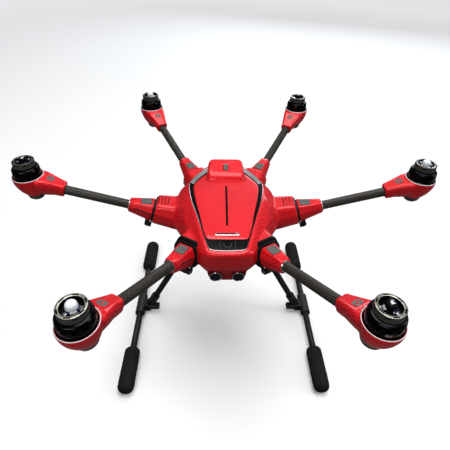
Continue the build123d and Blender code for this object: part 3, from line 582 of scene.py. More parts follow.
def piece(name, mesh, body, material, at=None, slot=None, stands_for=(), smooth=True, sharp=None, bevel=None):
    """A finished piece: its mesh, material, edges, body and the CAD nodes it stands for."""
    obj = bpy.data.objects.new(name, mesh)
    bpy.context.scene.collection.objects.link(obj)
    mesh.materials.clear()
    mesh.materials.append(MATERIALS[material])
    if smooth:
        mesh.polygons.foreach_set("use_smooth", [True] * len(mesh.polygons))
        mesh.set_sharp_from_angle(angle=radians(sharp or 35))
    if at:
        obj.matrix_world = at
    if bevel:
        modifier = obj.modifiers.new("edges", "BEVEL")
        modifier.width, modifier.segments, modifier.limit_method = bevel * MM, 2, "ANGLE"
        modifier.angle_limit = radians(32)
        modifier.harden_normals = False
    slot = slot or FINISH_SLOT[material]
    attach(obj, body)
    if stands_for:
        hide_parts(*stands_for)
    return obj


# ---- body shells ------------------------------------------------------------------------------------
SEAM_OUTLINE = [(16, -98), (31, -92), (51, -52), (67, -21), (67, 22), (51, 52), (27, 74)]
WAIST_OUTLINE = [(16, -100), (29, -93), (47, -48), (61, -20), (61, 22), (45, 51), (25, 73)]
DECK_OUTLINE = [(12, -99), (24, -93), (38, -40), (45, -8), (48, 25), (34, 55), (23, 71)]
LIP_OUTLINE = [(16, -96), (30, -90), (50, -51), (65, -21), (65, 22), (50, 51), (26, 73)]
FLANK_OUTLINE = [(15, -86), (25, -80), (41, -46), (53, -20), (53, 22), (41, 50), (25, 70)]
BELLY_OUTLINE = [(13, -74), (21, -68), (32, -42), (40, -20), (40, 22), (33, 50), (22, 64)]
SHOULDER_HALF = [(12.5, 17.5), (17.4, 5.0), (16.6, -5.0), (11.0, -14.0)]
SHOULDER_ROOT_HALF = [(15.0, 24.0), (21.0, 7.0), (20.0, -5.0), (14.0, -14.0)]
SHOULDER_SPAN = (-34.0, 2.6)
SHOULDER_WIDE, SHOULDER_TALL = 17.4, 16.0
SHOULDER_ROUND = 6.0
DECK_APEX = Vector((0.0, 12.0, RIM_Z - 26.5))
DECK_R = 760.0
TRIM_OUTER = [(10, -94.0), (20.5, -90.5), (36.5, -36), (44, -8), (47.5, 26), (33, 55.5), (24, 63.5)]
TRIM_INNER = [(10, -78.5), (24, -75.5), (33, -36), (39, -8), (41.5, 22), (26, 49), (19, 55)]
LOOP = 432
DECK_MIDDLE_Y = -10


def outline(half):
    """A smooth closed outline from its right-hand corners, as (x, y) pairs."""
    return [(p.x, p.y) for p in spline_loop(mirrored(half), LOOP)]


def shrunk(loop, share):
    """An outline drawn in towards the deck's middle."""
    return [(x * share, (y - DECK_MIDDLE_Y) * share + DECK_MIDDLE_Y) for x, y in loop]


def deck_height(x, y):
    """The domed deck's height."""
    return DECK_APEX.z - ((x - DECK_APEX.x) ** 2 + (y - DECK_APEX.y) ** 2) / (2 * DECK_R)


def core_body():
    """The middle of the body, without its shoulders."""
    def level(half, z):
        return [(x, y, z) for x, y in outline(half)]

    deck = outline(DECK_OUTLINE)
    rings = [level(BELLY_OUTLINE, BELLY_Z), level(FLANK_OUTLINE, SEAM_Z - 26), level(LIP_OUTLINE, SEAM_Z - 8),
             level(SEAM_OUTLINE, SEAM_Z), level(WAIST_OUTLINE, SEAM_Z + 15)]
    for share in (1.0, 0.86, 0.66, 0.42, 0.18):
        rings.append([(x, y, deck_height(x, y)) for x, y in shrunk(deck, share)])
    return ringed(rings)


def shoulder_part(name):
    """One shoulder, in the aircraft's frame."""
    to_body = arm_matrix(name)
    rings = []
    for half, s in ((SHOULDER_ROOT_HALF, SHOULDER_SPAN[0]), (SHOULDER_HALF, SHOULDER_SPAN[1])):
        loop = rounded_corners(mirrored(half), SHOULDER_ROUND)
        rings.append([(to_body @ (Vector((s, t, v)) * MM)) / MM for t, v in loop])
    return ringed(rings)


def seam_height(x, y):
    """The height of the joint line between the shells, which climbs along the shoulders."""
    reach = hypot(x, y)
    step = pi / 3
    off = (atan2(y, x) + step / 2) % step - step / 2
    along, across = reach * cos(off), reach * sin(off)
    on_shoulder = max(0.0, min(1.0, (22.0 - abs(across)) / 3.0))
    return SEAM_Z + on_shoulder * max(0.0, (along - 69.0) * 0.296)


def half_shell(mesh, upper):
    """The part of the skin above or below the joint line."""
    shell = bmesh.new()
    shell.from_mesh(mesh)
    for vert in shell.verts:
        vert.co.z -= seam_height(vert.co.x / MM, vert.co.y / MM) * MM
    gap = 0.3 * MM
    bmesh.ops.bisect_plane(shell, geom=shell.verts[:] + shell.edges[:] + shell.faces[:],
                           plane_co=(0, 0, gap if upper else -gap), plane_no=(0, 0, 1),
                           clear_inner=upper, clear_outer=not upper)
    for vert in shell.verts:
        vert.co.z += seam_height(vert.co.x / MM, vert.co.y / MM) * MM
    result = bpy.data.meshes.new(mesh.name + ("_upper" if upper else "_lower"))
    shell.to_mesh(result)
    shell.free()
    return result


def skin_tree(mesh):
    return BVHTree.FromPolygons([v.co for v in mesh.vertices], [p.vertices for p in mesh.polygons])


def slot_places(tree):
    """The side shoulders' slits and the flanks' slanted louvres, as (matrix in millimetres, half sizes)."""
    places = []
    for side in (-1, 1):
        for x in (73.6, 77.5, 81.4, 85.3):
            hit, normal, _, _ = tree.ray_cast(Vector((side * x, 0, 400)) * MM, Vector((0, 0, -1)))
            places.append((oriented(hit / MM, normal, 0), (0.55, 9.0)))
        for column, (rows, middle) in enumerate(((4, -34.0), (6, -30.5), (6, -27.5), (4, -25.5))):
            for row in range(rows):
                at = Vector((side * (51.4 + 2.5 * column), middle + 4.6 * (row - (rows - 1) / 2), 400))
                hit, normal, _, _ = tree.ray_cast(at * MM, Vector((0, 0, -1)))
                places.append((oriented(hit / MM, normal, side * radians(24)), (0.62, 1.8)))
    return places


def oriented(at, normal, spin):
    """A matrix in millimetres at a point, Z along the normal, X as near sideways as it goes."""
    z = Vector(normal).normalized()
    x = (Vector((1, 0, 0)) - z * z.x).normalized()
    turn = Matrix((x, z.cross(x), z)).transposed().to_4x4()
    return Matrix.Translation(at) @ turn @ Matrix.Rotation(spin, 4, "Z")


def sized_boxes(places, shrink, low_z, high_z):
    return [boxed((-w + shrink, w - shrink), (-h + shrink, h - shrink), (low_z, high_z), place)
            for place, (w, h) in places]


def deck_cap(half, low_by, proud):
    """A plate on the dome, its outline from a mirrored half, its rim rounded."""
    loop = outline(half)

    def ring(share, lift):
        return [(x, y, deck_height(x, y) + lift) for x, y in shrunk(loop, share)]

    rings = [ring(1.0, low_by), ring(1.0, proud - 0.5), ring(0.997, proud - 0.15), ring(0.988, proud)]
    rings += [ring(share, proud) for share in (0.93, 0.84, 0.70, 0.52, 0.32, 0.12)]
    return ringed(rings)


def deck_band(outer_half, inner_half, low_by, proud):
    """A band on the dome between two outlines."""
    outer, inner = (spline_loop(mirrored(half), LOOP) for half in (outer_half, inner_half))

    def ring(share, lift):
        points = [a.lerp(b, share) for a, b in zip(outer, inner)]
        return [(p.x, p.y, deck_height(p.x, p.y) + lift) for p in points]

    rings = [ring(0.0, low_by), ring(0.0, proud - 0.3), ring(0.05, proud), ring(0.35, proud),
             ring(0.65, proud),
             ring(0.95, proud), ring(1.0, proud - 0.3), ring(1.0, low_by)]
    points, faces = ringed(rings, (False, False))
    count, last = LOOP, (len(rings) - 1) * LOOP
    faces += [(k, last + k, last + (k + 1) % count, (k + 1) % count) for k in range(count)]
    return points, faces


def thread_on_deck(loop, radius, lift, closed=True):
    """A thin bead that follows a line on the dome."""
    points, faces, sides = [], [], THREAD_SIDES
    count = len(loop)
    for i, p in enumerate(loop):
        ahead, behind = loop[(i + 1) % count], loop[i - 1]
        if not closed:
            ahead, behind = loop[min(i + 1, count - 1)], loop[max(i - 1, 0)]
        along = (Vector(ahead) - Vector(behind)).normalized()
        out = Vector((along.y, -along.x))
        z = deck_height(p[0], p[1]) + lift
        for c, h in circle(sides):
            points.append((p[0] + out.x * radius * c, p[1] + out.y * radius * c, z + radius * h))
    for i in range(count if closed else count - 1):
        for k in range(sides):
            a, b = i * sides + k, i * sides + (k + 1) % sides
            c, d = ((i + 1) % count) * sides + (k + 1) % sides, ((i + 1) % count) * sides + k
            faces.append((a, b, c, d))
    if not closed:
        faces += [tuple(reversed(range(sides))), tuple(range((count - 1) * sides, count * sides))]
    return points, faces


def make_shells():
    skin = blended("skin", [core_body()] + [shoulder_part(name) for name in ARMS], 1.1, 16)
    sunk = outline(TRIM_OUTER)
    for vert in skin.vertices:
        x, y, z = vert.co / MM
        if z > deck_height(x, y) - 2.5 and inside(x, y, sunk):
            vert.co.z = min(vert.co.z, (deck_height(x, y) - 1.3) * MM)
    places = slot_places(skin_tree(skin))
    skin = cut(skin, solid_mesh("openings", *sized_boxes(places, 0.0, -2.4, 4.0)))
    # Painted shade: near-black sheets just under the slits and louvres make the openings read dark from any side,
    # standing for the shade inside them.
    shade_sheets = solid_mesh("shade_sheets", *sized_boxes(places, -0.05, -2.5, -0.45))
    piece("vent_shade_sheets", shade_sheets, "fuselage", "painted_shade_grey", smooth=False)
    upper, lower = half_shell(skin, True), half_shell(skin, False)
    wall = {"SOLIDIFY": {"thickness": 1.6 * MM, "offset": -1.0, "use_even_offset": False}}
    piece("upper_shell", applied(upper, **wall), "fuselage", "red", stands_for=["top_shell"], sharp=50)
    piece("lower_shell", applied(lower, **wall), "fuselage", "red",
          stands_for=["bottom_shell"], sharp=50)


def make_deck():
    """The black band, the red panel inside it with the badge's recess, the slot's liner and the band's outer edge.
    """
    band = to_mesh("band", *deck_band(TRIM_OUTER, TRIM_INNER, -1.2, 0.35))
    piece("deck_band", band, "fuselage", "gloss_black", stands_for=["trim_band"], sharp=22)
    inner = [(x - 0.3, y + (0.3 if y < 0 else -0.3)) for x, y in TRIM_INNER]
    panel = to_mesh("panel", *deck_cap(inner, -1.2, 0.1))
    slot_box = boxed((-1.35, 1.35), (-58, 18), (deck_height(0, -58) - 0.9, RIM_Z))
    badge_box = boxed((-14.2, 14.2), (-73.0, -69.2), (deck_height(0, -71) - 0.35, RIM_Z))
    panel = cut(panel, solid_mesh("slot", slot_box, badge_box))
    piece("deck_panel", panel, "fuselage", "red", stands_for=["top_panel"], sharp=22)
    line = [(0.0, -57.6 + 75.2 * k / 24) for k in range(25)]
    liner = [[(side * 1.25, y, deck_height(0, y) + lift) for side, lift in
              ((-1, -0.95), (1, -0.95), (1, -0.55), (-1, -0.55))] for _, y in line]
    piece("slot_liner", to_mesh("liner", *ringed(liner)), "fuselage", "gloss_black")
    piece("band_edge", to_mesh("edge", *thread_on_deck(outline(TRIM_OUTER), 0.26, 0.12)), "fuselage",
          "silver")


def local_matrix(at, axis):
    """A place whose X axis points along axis, in metres."""
    x = Vector(axis).normalized()
    y = Vector((0, 0, 1)).cross(x).normalized()
    turn = Matrix((x, y, x.cross(y))).transposed().to_4x4()
    return Matrix.Translation(Vector(at) * MM) @ turn


def turned_along_x(profile, segments):
    """A closed solid turned about X from (distance, radius) pairs."""
    return ringed([[(x, r * c, r * s) for c, s in circle(segments)] for x, r in profile])


def bead(radius, z, thick, segments=96):
    """A ring of round section about Z."""
    section_points = [(radius + thick * c, z + thick * h) for c, h in circle(BEAD_SIDES)]
    points = [(r * c, r * h, height) for c, h in circle(segments) for r, height in section_points]
    faces = []
    for i in range(segments):
        for k in range(BEAD_SIDES):
            c, d = (i + 1) % segments * BEAD_SIDES, (k + 1) % BEAD_SIDES
            faces.append((i * BEAD_SIDES + k, c + k, c + d, i * BEAD_SIDES + d))
    return points, faces


def on_surface(mesh, x, y):
    """The place on top of a mesh at (x, y), its Z axis along the surface's normal."""
    hit, normal, _, _ = skin_tree(mesh).ray_cast(Vector((x, y, 200)) * MM, Vector((0, 0, -1)))
    return Matrix.Translation(hit) @ normal.to_track_quat("Z", "Y").to_matrix().to_4x4()


# ---- cover over the receiver, buttons and small things on the deck ----------------------------------
# Rings of the cover's skin: how far each lies under its sloping top, and its trapezoid.
HUMP_RINGS = [
    (12.0, (26.4, 30.0, 23.9, 68.0)),
    (7.0, (26.2, 30.5, 23.7, 67.8)),
    (3.4, (25.3, 32.0, 23.1, 67.2)),
    (1.0, (23.8, 34.6, 22.0, 66.2)),
    (0.2, (22.2, 37.4, 20.8, 65.0)),
    (0.0, (19.0, 41.0, 18.2, 62.4)),
]
HUMP_ROUND = 7.0
BADGE_Y = -71.0
LATCH = Vector((0.0, 50.0))
POWER_Y = (low("power_button").y + high("power_button").y) / 2


def hump_top(y):
    """The height of the cover's top, which slopes down to the front."""
    return RIM_Z - 21.2 + (y - 36.0) * 0.235


def hump_ring(corners, radius, drop):
    return [(p.x, p.y, hump_top(p.y) - drop) for p in rounded_corners(corners, radius)]


def around_latch(margin):
    """Corners of the battery button's opening."""
    half_x = (high("battery_latch").x - low("battery_latch").x) / 2 + margin
    half_y = (high("battery_latch").y - low("battery_latch").y) / 2 + margin
    return [LATCH + Vector((a * half_x, b * half_y)) for a, b in ((-1, -1), (1, -1), (1, 1), (-1, 1))]


def make_hump():
    rings = [hump_ring(trapezoid(*sides), HUMP_ROUND, drop) for drop, sides in HUMP_RINGS]
    rings += [hump_ring(around_latch(margin), 2.0, drop)
              for margin, drop in ((0.7, 0.0), (0.35, 0.25), (0.3, 5.0))]
    hump = to_mesh("hump", *ringed(rings, (False, False)))
    hump = applied(hump, SUBSURF={"levels": 2}, SOLIDIFY={"thickness": 1.2 * MM, "offset": -1.0})
    piece("receiver_cover", hump, "fuselage", "red", stands_for=["gps_cover"], sharp=50)
    seat = [(p.x, p.y) for p in rounded_corners(trapezoid(26.9, 29.5, 24.4, 68.5), HUMP_ROUND)]
    piece("cover_gasket", to_mesh("gasket", *thread_on_deck(seat, 0.4, 0.0)), "fuselage", "gloss_black")
    key = [hump_ring(around_latch(margin), 1.9, drop) for margin, drop in
           ((0.0, 3.4), (0.0, -0.35), (-0.2, -0.75), (-0.6, -0.95), (-1.4, -0.7), (-1.9, -0.65))]
    piece("battery_button", to_mesh("latch", *ringed(key)), "battery_latch", "grey_button",
          stands_for=["battery_latch"], sharp=40)


def make_deck_details():
    """The badge plate, the button's ring and brackets, and the ribbed vents at the band's rear ends."""
    loop = [(p.x, p.y + BADGE_Y) for p in rounded_corners(trapezoid(14, -1.7, 14, 1.7), 1.6)]

    def flat(shape, share, lift):
        return [(x * share, (y - BADGE_Y) * share + BADGE_Y, deck_height(x, y) + lift) for x, y in shape]

    plate = ringed([flat(loop, 1.0, -0.3), flat(loop, 1.0, 0.25), flat(loop, 0.96, 0.42)])
    piece("badge_plate", to_mesh("badge", *plate), "fuselage", "silver", sharp=30)
    inlay = ringed([[(x, BADGE_Y + (y - BADGE_Y) * 0.62, deck_height(x, y) + lift) for x, y in
                     [(px * 0.93, py) for px, py in loop]] for lift in (0.30, 0.52)])
    piece("badge_inlay", to_mesh("inlay", *inlay), "fuselage", "gloss_black", sharp=30)
    top = deck_height(0, POWER_Y) + 0.38
    at = placed(0, POWER_Y, top)
    piece("power_ring", to_mesh("ring", *bead(4.3, 0, 0.22, 48)), "fuselage", "grey_button", at=at)
    for side in (-1, 1):
        arc = [(side * (3.2 + 5.6 * cos(a)), POWER_Y + 7.2 * sin(a)) for a in
               [radians(-38 + 76 * k / 10) for k in range(11)]]
        piece(f"bracket_{'left' if side < 0 else 'right'}",
              to_mesh("bracket", *thread_on_deck(arc, 0.22, 0.36, closed=False)), "fuselage", "grey_button")
    outer, inner = (spline_loop(mirrored(half), LOOP) for half in (TRIM_OUTER, TRIM_INNER))
    ribs, walked, last = [], 0.0, outer[0]
    for a, b in zip(outer, inner):
        walked += (a - last).length
        last = a
        if a.y > 27 and abs(a.x) > 22 and walked > 2.8:
            ribs.append(rib(a, b))
            walked = 0.0
    piece("vent_ribs", solid_mesh("ribs", *ribs), "fuselage", "pale_metal", smooth=False)


def rib(a, b):
    """A small bar across the band between points a and b of its outlines."""
    along = (b - a).normalized()
    out = Vector((along.y, -along.x)) * 0.65
    points = []
    for p in (a.lerp(b, 0.1), a.lerp(b, 0.9)):
        for side in (-1, 1):
            for lift in (0.1, 0.85):
                q = p + out * side
                points.append((q.x, q.y, deck_height(q.x, q.y) + lift))
    return points, BOX_FACES


# ---- shoulders' end plates and the arms ----------------------------------------------------------------
CLAMP_SPAN = (5.4, 35.4)
CLAMP_ROOT_HALF = [(9.0, 13.0), (13.2, 3.0), (12.2, -6.0), (9.0, -12.9)]
CLAMP_END_HALF = [(5.5, 7.8), (7.9, 1.3), (7.5, -3.0), (5.3, -7.8)]
CLAMP_ROUND = 3.0
CLAMP_TOP = (13.0, 7.8)
HINGE_S, HINGE_V = 8.6, -16.7
KNUCKLE_R, KNUCKLE_HALF = 3.1, 7.8
LUG = (8.1, 11.1)
TUBE_R = 5.7
TUBE_SPAN = (23.0, 121.0)
BUTTON_SPAN = (8.4, 21.4)
BUTTON_HALF = 5.6
BUTTON_GAP = 0.3


def section(half, s, radius, scale):
    return [(s, t * scale, v * scale) for t, v in rounded_corners(mirrored(half), radius)]


def bar_across(s, v, t_range, radius):
    """A round bar along the tangent, in an arm's frame."""
    rings = [[(s + radius * scale * c, t, v + radius * scale * h) for c, h in circle(BAR_SIDES)]
             for t, scale in ((t_range[0], 0.9), (t_range[0] + 0.4, 1.0), (t_range[1] - 0.4, 1.0),
                              (t_range[1], 0.9))]
    return ringed(rings)


def clamp_top(s):
    """The height of the clamp's sloping top face."""
    fall = CLAMP_TOP[0] - CLAMP_TOP[1]
    return CLAMP_TOP[0] - fall * (s - CLAMP_SPAN[0]) / (CLAMP_SPAN[1] - CLAMP_SPAN[0])


def side_slit(side, low_by, high_by, ends=(6.5, 27.5), height=(0.4, 3.0)):
    """A wedge along the clamp's flank, from low_by to high_by off its surface."""
    points = []
    for s in ends:
        face = 13.1 - 0.177 * (s - CLAMP_SPAN[0])
        points += [(s, side * (face + off), v) for off in (low_by, high_by) for v in height]
    return points, BOX_FACES


def clamp_mesh():
    stations = [(0.0, 0.955), (0.02, 1.0), (0.35, 0.985), (0.7, 0.985), (0.97, 1.0), (1.0, 0.94)]
    span = CLAMP_SPAN[1] - CLAMP_SPAN[0]
    body = ringed([section(between(CLAMP_ROOT_HALF, CLAMP_END_HALF, share), CLAMP_SPAN[0] + share * span,
                           CLAMP_ROUND, scale)
                   for share, scale in stations])
    pocket = [boxed((BUTTON_SPAN[0] - BUTTON_GAP, BUTTON_SPAN[1] + BUTTON_GAP),
                    (-BUTTON_HALF - BUTTON_GAP, BUTTON_HALF + BUTTON_GAP), (7.4, 20))]
    bore = [turned_along_x([(TUBE_SPAN[0] - 0.1, TUBE_R + 0.05), (CLAMP_SPAN[1] + 2, TUBE_R + 0.05)],
                           BORE_SIDES)]
    slits = [side_slit(side, -1.1, 3.0) for side in (-1, 1)]
    return cut(to_mesh("clamp", *body), solid_mesh("clamp_cuts", *pocket, *bore, *slits))


def button_mesh():
    """A rounded key that follows the clamp's slope, with two engraved bars."""
    corners = [(s, t) for s, t in ((BUTTON_SPAN[0], -BUTTON_HALF), (BUTTON_SPAN[1], -BUTTON_HALF),
                                   (BUTTON_SPAN[1], BUTTON_HALF), (BUTTON_SPAN[0], BUTTON_HALF))]
    middle = Vector((sum(BUTTON_SPAN) / 2, 0))
    loop = rounded_corners(corners, 1.8)

    def ring(scale, lift):
        points = [middle + (p - middle) * scale for p in loop]
        return [(p.x, p.y, clamp_top(p.x) + lift) for p in points]

    base = [(p.x, p.y, 9.3) for p in loop]
    key = ringed([base, ring(1.0, 0.2), ring(0.985, 0.55), ring(0.94, 0.78), ring(0.80, 0.72),
                  ring(0.4, 0.66)])
    bars = [boxed((s, s + 0.9), (-3.4, 3.4), (clamp_top(s) + 0.3, 20)) for s in (12.6, 16.2)]
    return cut(to_mesh("key", *key), solid_mesh("bars", *bars))


def grown_shoulder(half, s, grow):
    """A shoulder's section made larger all round, or smaller where grow is negative."""
    wide, tall = 1 + grow / SHOULDER_WIDE, 1 + grow / SHOULDER_TALL
    return [(s, t * wide, v * tall) for t, v in rounded_corners(mirrored(half), SHOULDER_ROUND)]


def end_plate_mesh():
    """The black plate recessed in a shoulder's mouth, with the hinge's two lugs."""
    plate = ringed([grown_shoulder(SHOULDER_HALF, s, -inset)
                    for s, inset in ((1.8, 1.9), (3.4, 1.9), (3.9, 2.6), (3.5, 4.2), (3.5, 9.0))])
    gasket = [section(CLAMP_ROOT_HALF, s, CLAMP_ROUND, scale)
              for s, scale in ((3.2, 0.95), (5.0, 0.95), (5.3, 0.92))]
    parts = [plate, ringed(gasket)]
    for side in (-1, 1):
        ends = sorted((side * LUG[0], side * LUG[1]))
        parts.append(bar_across(HINGE_S, HINGE_V, ends, KNUCKLE_R))
        parts.append(boxed((2.7, HINGE_S), ends, (HINGE_V - KNUCKLE_R * 0.98, HINGE_V + KNUCKLE_R * 0.98)))
        parts.append(boxed((2.7, 4.8), ends, (HINGE_V, HINGE_V + 7)))
    return solid_mesh("end_plate", *parts)


def make_arm(name, meshes):
    arm, at = f"{name}_arm", arm_matrix(name)
    piece(f"{name}_end_plate", meshes["plate"], "fuselage", "satin_black", at=at,
          stands_for=["arm_end_plates"], sharp=30)
    piece(f"{name}_clamp", meshes["clamp"], arm, "red_arm", at=at,
          stands_for=[f"{name}_arm_clamp"], sharp=32, bevel=0.25)
    piece(f"{name}_clamp_slits", meshes["slits"], arm, "satin_black", at=at, smooth=False)
    piece(f"{name}_hinge_knuckle", meshes["knuckle"], arm, "satin_black", at=at, sharp=40)
    piece(f"{name}_button", meshes["button"], f"{name}_release_button", "grey_button", at=at,
          stands_for=[f"{name}_release_button"], sharp=38)
    piece(f"{name}_tube", meshes["tube"], arm, "carbon", at=at, stands_for=[f"{name}_arm_tube"])
    piece(f"{name}_tube_collar", meshes["collar"], arm, "silver", at=at)


def make_arms():
    slit_liners = [side_slit(side, -1.05, -0.8, (6.6, 27.4), (0.45, 2.95)) for side in (-1, 1)]
    web = boxed((HINGE_S - 2.6, HINGE_S + KNUCKLE_R * 0.95), (-KNUCKLE_HALF, KNUCKLE_HALF),
                (HINGE_V, HINGE_V + 6))
    tube = [(TUBE_SPAN[0], TUBE_R - 1.0), (TUBE_SPAN[0], TUBE_R), (60.0, TUBE_R), (TUBE_SPAN[1], TUBE_R),
            (TUBE_SPAN[1], TUBE_R - 1.0)]
    collar = [(34.9, TUBE_R + 0.02), (34.9, TUBE_R + 1.3), (36.0, TUBE_R + 1.3), (36.5, TUBE_R + 0.8),
              (36.5, TUBE_R + 0.02)]
    meshes = {
        "plate": end_plate_mesh(),
        "clamp": clamp_mesh(),
        "slits": solid_mesh("slits", *slit_liners),
        "knuckle": solid_mesh("knuckle",
                              bar_across(HINGE_S, HINGE_V, (-KNUCKLE_HALF, KNUCKLE_HALF), KNUCKLE_R), web),
        "button": button_mesh(),
        "tube": to_mesh("tube", *turned_along_x(tube, 64)),
        "collar": to_mesh("collar", *turned_along_x(collar, 64)),
    }
    for name in ARMS:
        make_arm(name, meshes)


# ---- motor pods ---------------------------------------------------------------------------------------
POD_R = 18.15
BOWL = [(POD_R, 0.0, 0.0), (POD_R, 0.0, -2.0), (POD_R - 0.5, 0.25, -7.0), (POD_R - 1.6, 0.8, -12.0),
        (POD_R - 3.4, 1.6, -17.0), (POD_R - 6.0, 2.7, -22.0), (POD_R - 9.4, 4.0, -26.8)]
CAVITY_R, CAVITY_DEPTH = 16.9, 6.0
NECK_IN = 114.5
NECK_ROUND = 7.0


def arm_to_pod(s, t, v):
    """A point of the arm's frame in the pod's frame."""
    x = ROOT_R + s * cos(ARM_RISE) - v * sin(ARM_RISE) - MOTOR_CIRCLE_R
    return Vector((x, t, ROOT_Z + s * sin(ARM_RISE) + v * cos(ARM_RISE) - RIM_Z))


def neck_ring(s, half_width, up, down):
    """A rounded section across the neck, square to the tube."""
    tall = up + down
    half = [(half_width * 0.86, up), (half_width, up - 0.3 * tall), (half_width * 0.94, up - 0.68 * tall),
            (half_width * 0.6, -down)]
    return [tuple(arm_to_pod(s, t, v)) for t, v in rounded_corners(mirrored(half), NECK_ROUND)]


def upright_ring(x, half_width, top, bottom):
    """A rounded upright section across the neck, heights from the rim."""
    tall = top - bottom
    half = [(half_width * 0.9, top), (half_width, top - 0.3 * tall), (half_width * 0.82, top - 0.62 * tall),
            (half_width * 0.46, bottom)]
    return [(x, t, z) for t, z in rounded_corners(mirrored(half), NECK_ROUND)]


def pod_mesh():
    bowl = [[(r * c - shift, r * h, z) for c, h in circle(72)] for r, shift, z in reversed(BOWL)]
    x_in = arm_to_pod(NECK_IN, 0, 0).x
    neck = [neck_ring(NECK_IN, 8.3, 8.4, 8.2), neck_ring(NECK_IN + 5, 8.9, 9.4, 8.4),
            upright_ring(x_in + 12, 11.2, -6.2, -27.6), upright_ring(x_in + 20, 13.6, -2.2, -26.6),
            upright_ring(x_in + 28, 16.0, -0.8, -24.0)]
    skin = blended("pod", [ringed(bowl), ringed(neck)], 0.8, 9)
    tools = [turned([(CAVITY_R, -CAVITY_DEPTH), (CAVITY_R, 6.0)], 96)]
    bore = turned_along_x([(NECK_IN - 8, TUBE_R + 0.05), (TUBE_SPAN[1] + 0.1, TUBE_R + 0.05)], BORE_SIDES)
    tools.append(([tuple(arm_to_pod(*p)) for p in bore[0]], bore[1]))
    return cut(skin, solid_mesh("pod_cuts", *tools))


def lens_mesh():
    """The smoked cover of the arm's lamp, a shallow dome under the bowl's inboard side."""
    profile = [(0.6, -33.6), (4.0, -33.3), (7.2, -32.1), (9.4, -29.9), (10.4, -27.2), (10.7, -24.0),
               (10.7, -20.0)]
    points, faces = turned(profile, 48)
    return to_mesh("lens", [(x - 3.5, y * 0.94, z) for x, y, z in points], faces)


def wall_ring(radius, thick, low_z, high_z):
    """A short tube about Z."""
    profile = [(radius - thick, low_z), (radius, low_z), (radius, high_z), (radius - thick, high_z),
               (radius - thick, low_z)]
    points, faces = turned(profile, 96)
    return applied(to_mesh("wall", points, faces[:-2]), WELD={"merge_threshold": 0.001 * MM})


# ---- motors -------------------------------------------------------------------------------------------
BELL_R, BELL_Z = 15.8, (1.0, 12.6)
RING_R, RING_Z = 12.3, (13.4, 20.4)
HUB_R, HUB_TOP = 4.7, 25.0
SHAFT_R = 2.0
POLES = 12
COIL_Z = 6.4
SILVER_HUBS = ("front_left", "right", "rear_left")


def bell_mesh():
    """The magnet bell: a thin wall with a window at each pole, rolling over into the upper ring's neck."""
    steps = 144
    per_pole = steps // POLES
    rows = [(BELL_R - 0.5, BELL_Z[0]), (BELL_R - 0.05, BELL_Z[0] + 0.5), (BELL_R - 0.1, 5.9),
            (BELL_R - 0.25, 8.5),
            (BELL_R - 0.6, BELL_Z[1] - 1.9), (BELL_R - 1.7, BELL_Z[1] - 0.5), (BELL_R - 2.3, BELL_Z[1] - 0.1),
            (RING_R - 0.5, BELL_Z[1]), (RING_R - 0.9, BELL_Z[1] + 0.3), (RING_R - 0.9, RING_Z[0] + 0.2)]
    rings = [[(r * c, r * h, z) for c, h in circle(steps)] for r, z in rows]
    points, faces = ringed(rings, (False, False))
    window_row = 2 * steps
    kept = [face for i, face in enumerate(faces)
            if not (window_row <= i < window_row + steps and 3 <= (i - window_row) % per_pole <= 8)]
    return applied(to_mesh("bell", points, kept), SOLIDIFY={"thickness": 1.3 * MM, "offset": -1.0})


def bell_patch_mesh():
    """A small plain plate stuck on the bell."""
    rings = []
    for r, grow in ((BELL_R - 0.4, 0.0), (BELL_R + 0.02, 0.0), (BELL_R + 0.1, -0.02)):
        loop = rounded_corners(trapezoid(0.16 + grow, 2.3, 0.16 + grow, 5.2), 0.1, 3)
        rings.append([(r * cos(p.x - 0.7), r * sin(p.x - 0.7), p.y) for p in loop])
    return to_mesh("patch", *ringed(rings))


def upper_ring_mesh():
    """The propeller's quick-release ring: a wall round a deep dish."""
    low_z, high_z = RING_Z
    profile = [(RING_R - 2.5, low_z), (RING_R - 0.4, low_z), (RING_R, low_z + 0.4), (RING_R, high_z - 0.5),
               (RING_R - 0.4, high_z - 0.1), (RING_R - 2.9, high_z - 0.1), (RING_R - 3.1, high_z - 0.5),
               (RING_R - 3.1, 16.4), (RING_R - 3.9, 15.7), (SHAFT_R, 15.3)]
    return to_mesh("upper_ring", *turned(profile, 96))


def sleeve_mesh():
    """The grey band round the ring's wall, open at six slots."""
    low_z, high_z = RING_Z[0] + 0.5, RING_Z[1] - 0.6
    slots = [boxed((RING_R - 2, RING_R + 2), (-2.2, 2.2), (high_z - 1.9, high_z - 0.6),
                   Matrix.Rotation(radians(60 * k), 4, "Z")) for k in range(6)]
    return cut(wall_ring(RING_R + 0.04, 0.3, low_z, high_z), solid_mesh("slots", *slots))


def annulus_mesh():
    """The bright flat on top of the ring, cut through at six keyways."""
    high_z = RING_Z[1]
    profile = [(RING_R - 2.9, high_z - 0.3), (RING_R - 0.35, high_z - 0.3), (RING_R - 0.35, high_z - 0.05),
               (RING_R - 0.5, high_z), (RING_R - 2.8, high_z), (RING_R - 2.9, high_z - 0.05)]
    points, faces = turned(profile + profile[:1], 120)
    faces = faces[:-2]
    keys = [boxed((RING_R - 2.25, RING_R - 0.9), (-2.4, 2.4), (high_z - 1, high_z + 1),
                  Matrix.Rotation(radians(60 * k + 30), 4, "Z")) for k in range(6)]
    mesh = applied(to_mesh("annulus", points, faces), WELD={"merge_threshold": 0.001 * MM})
    return cut(mesh, solid_mesh("keys", *keys))


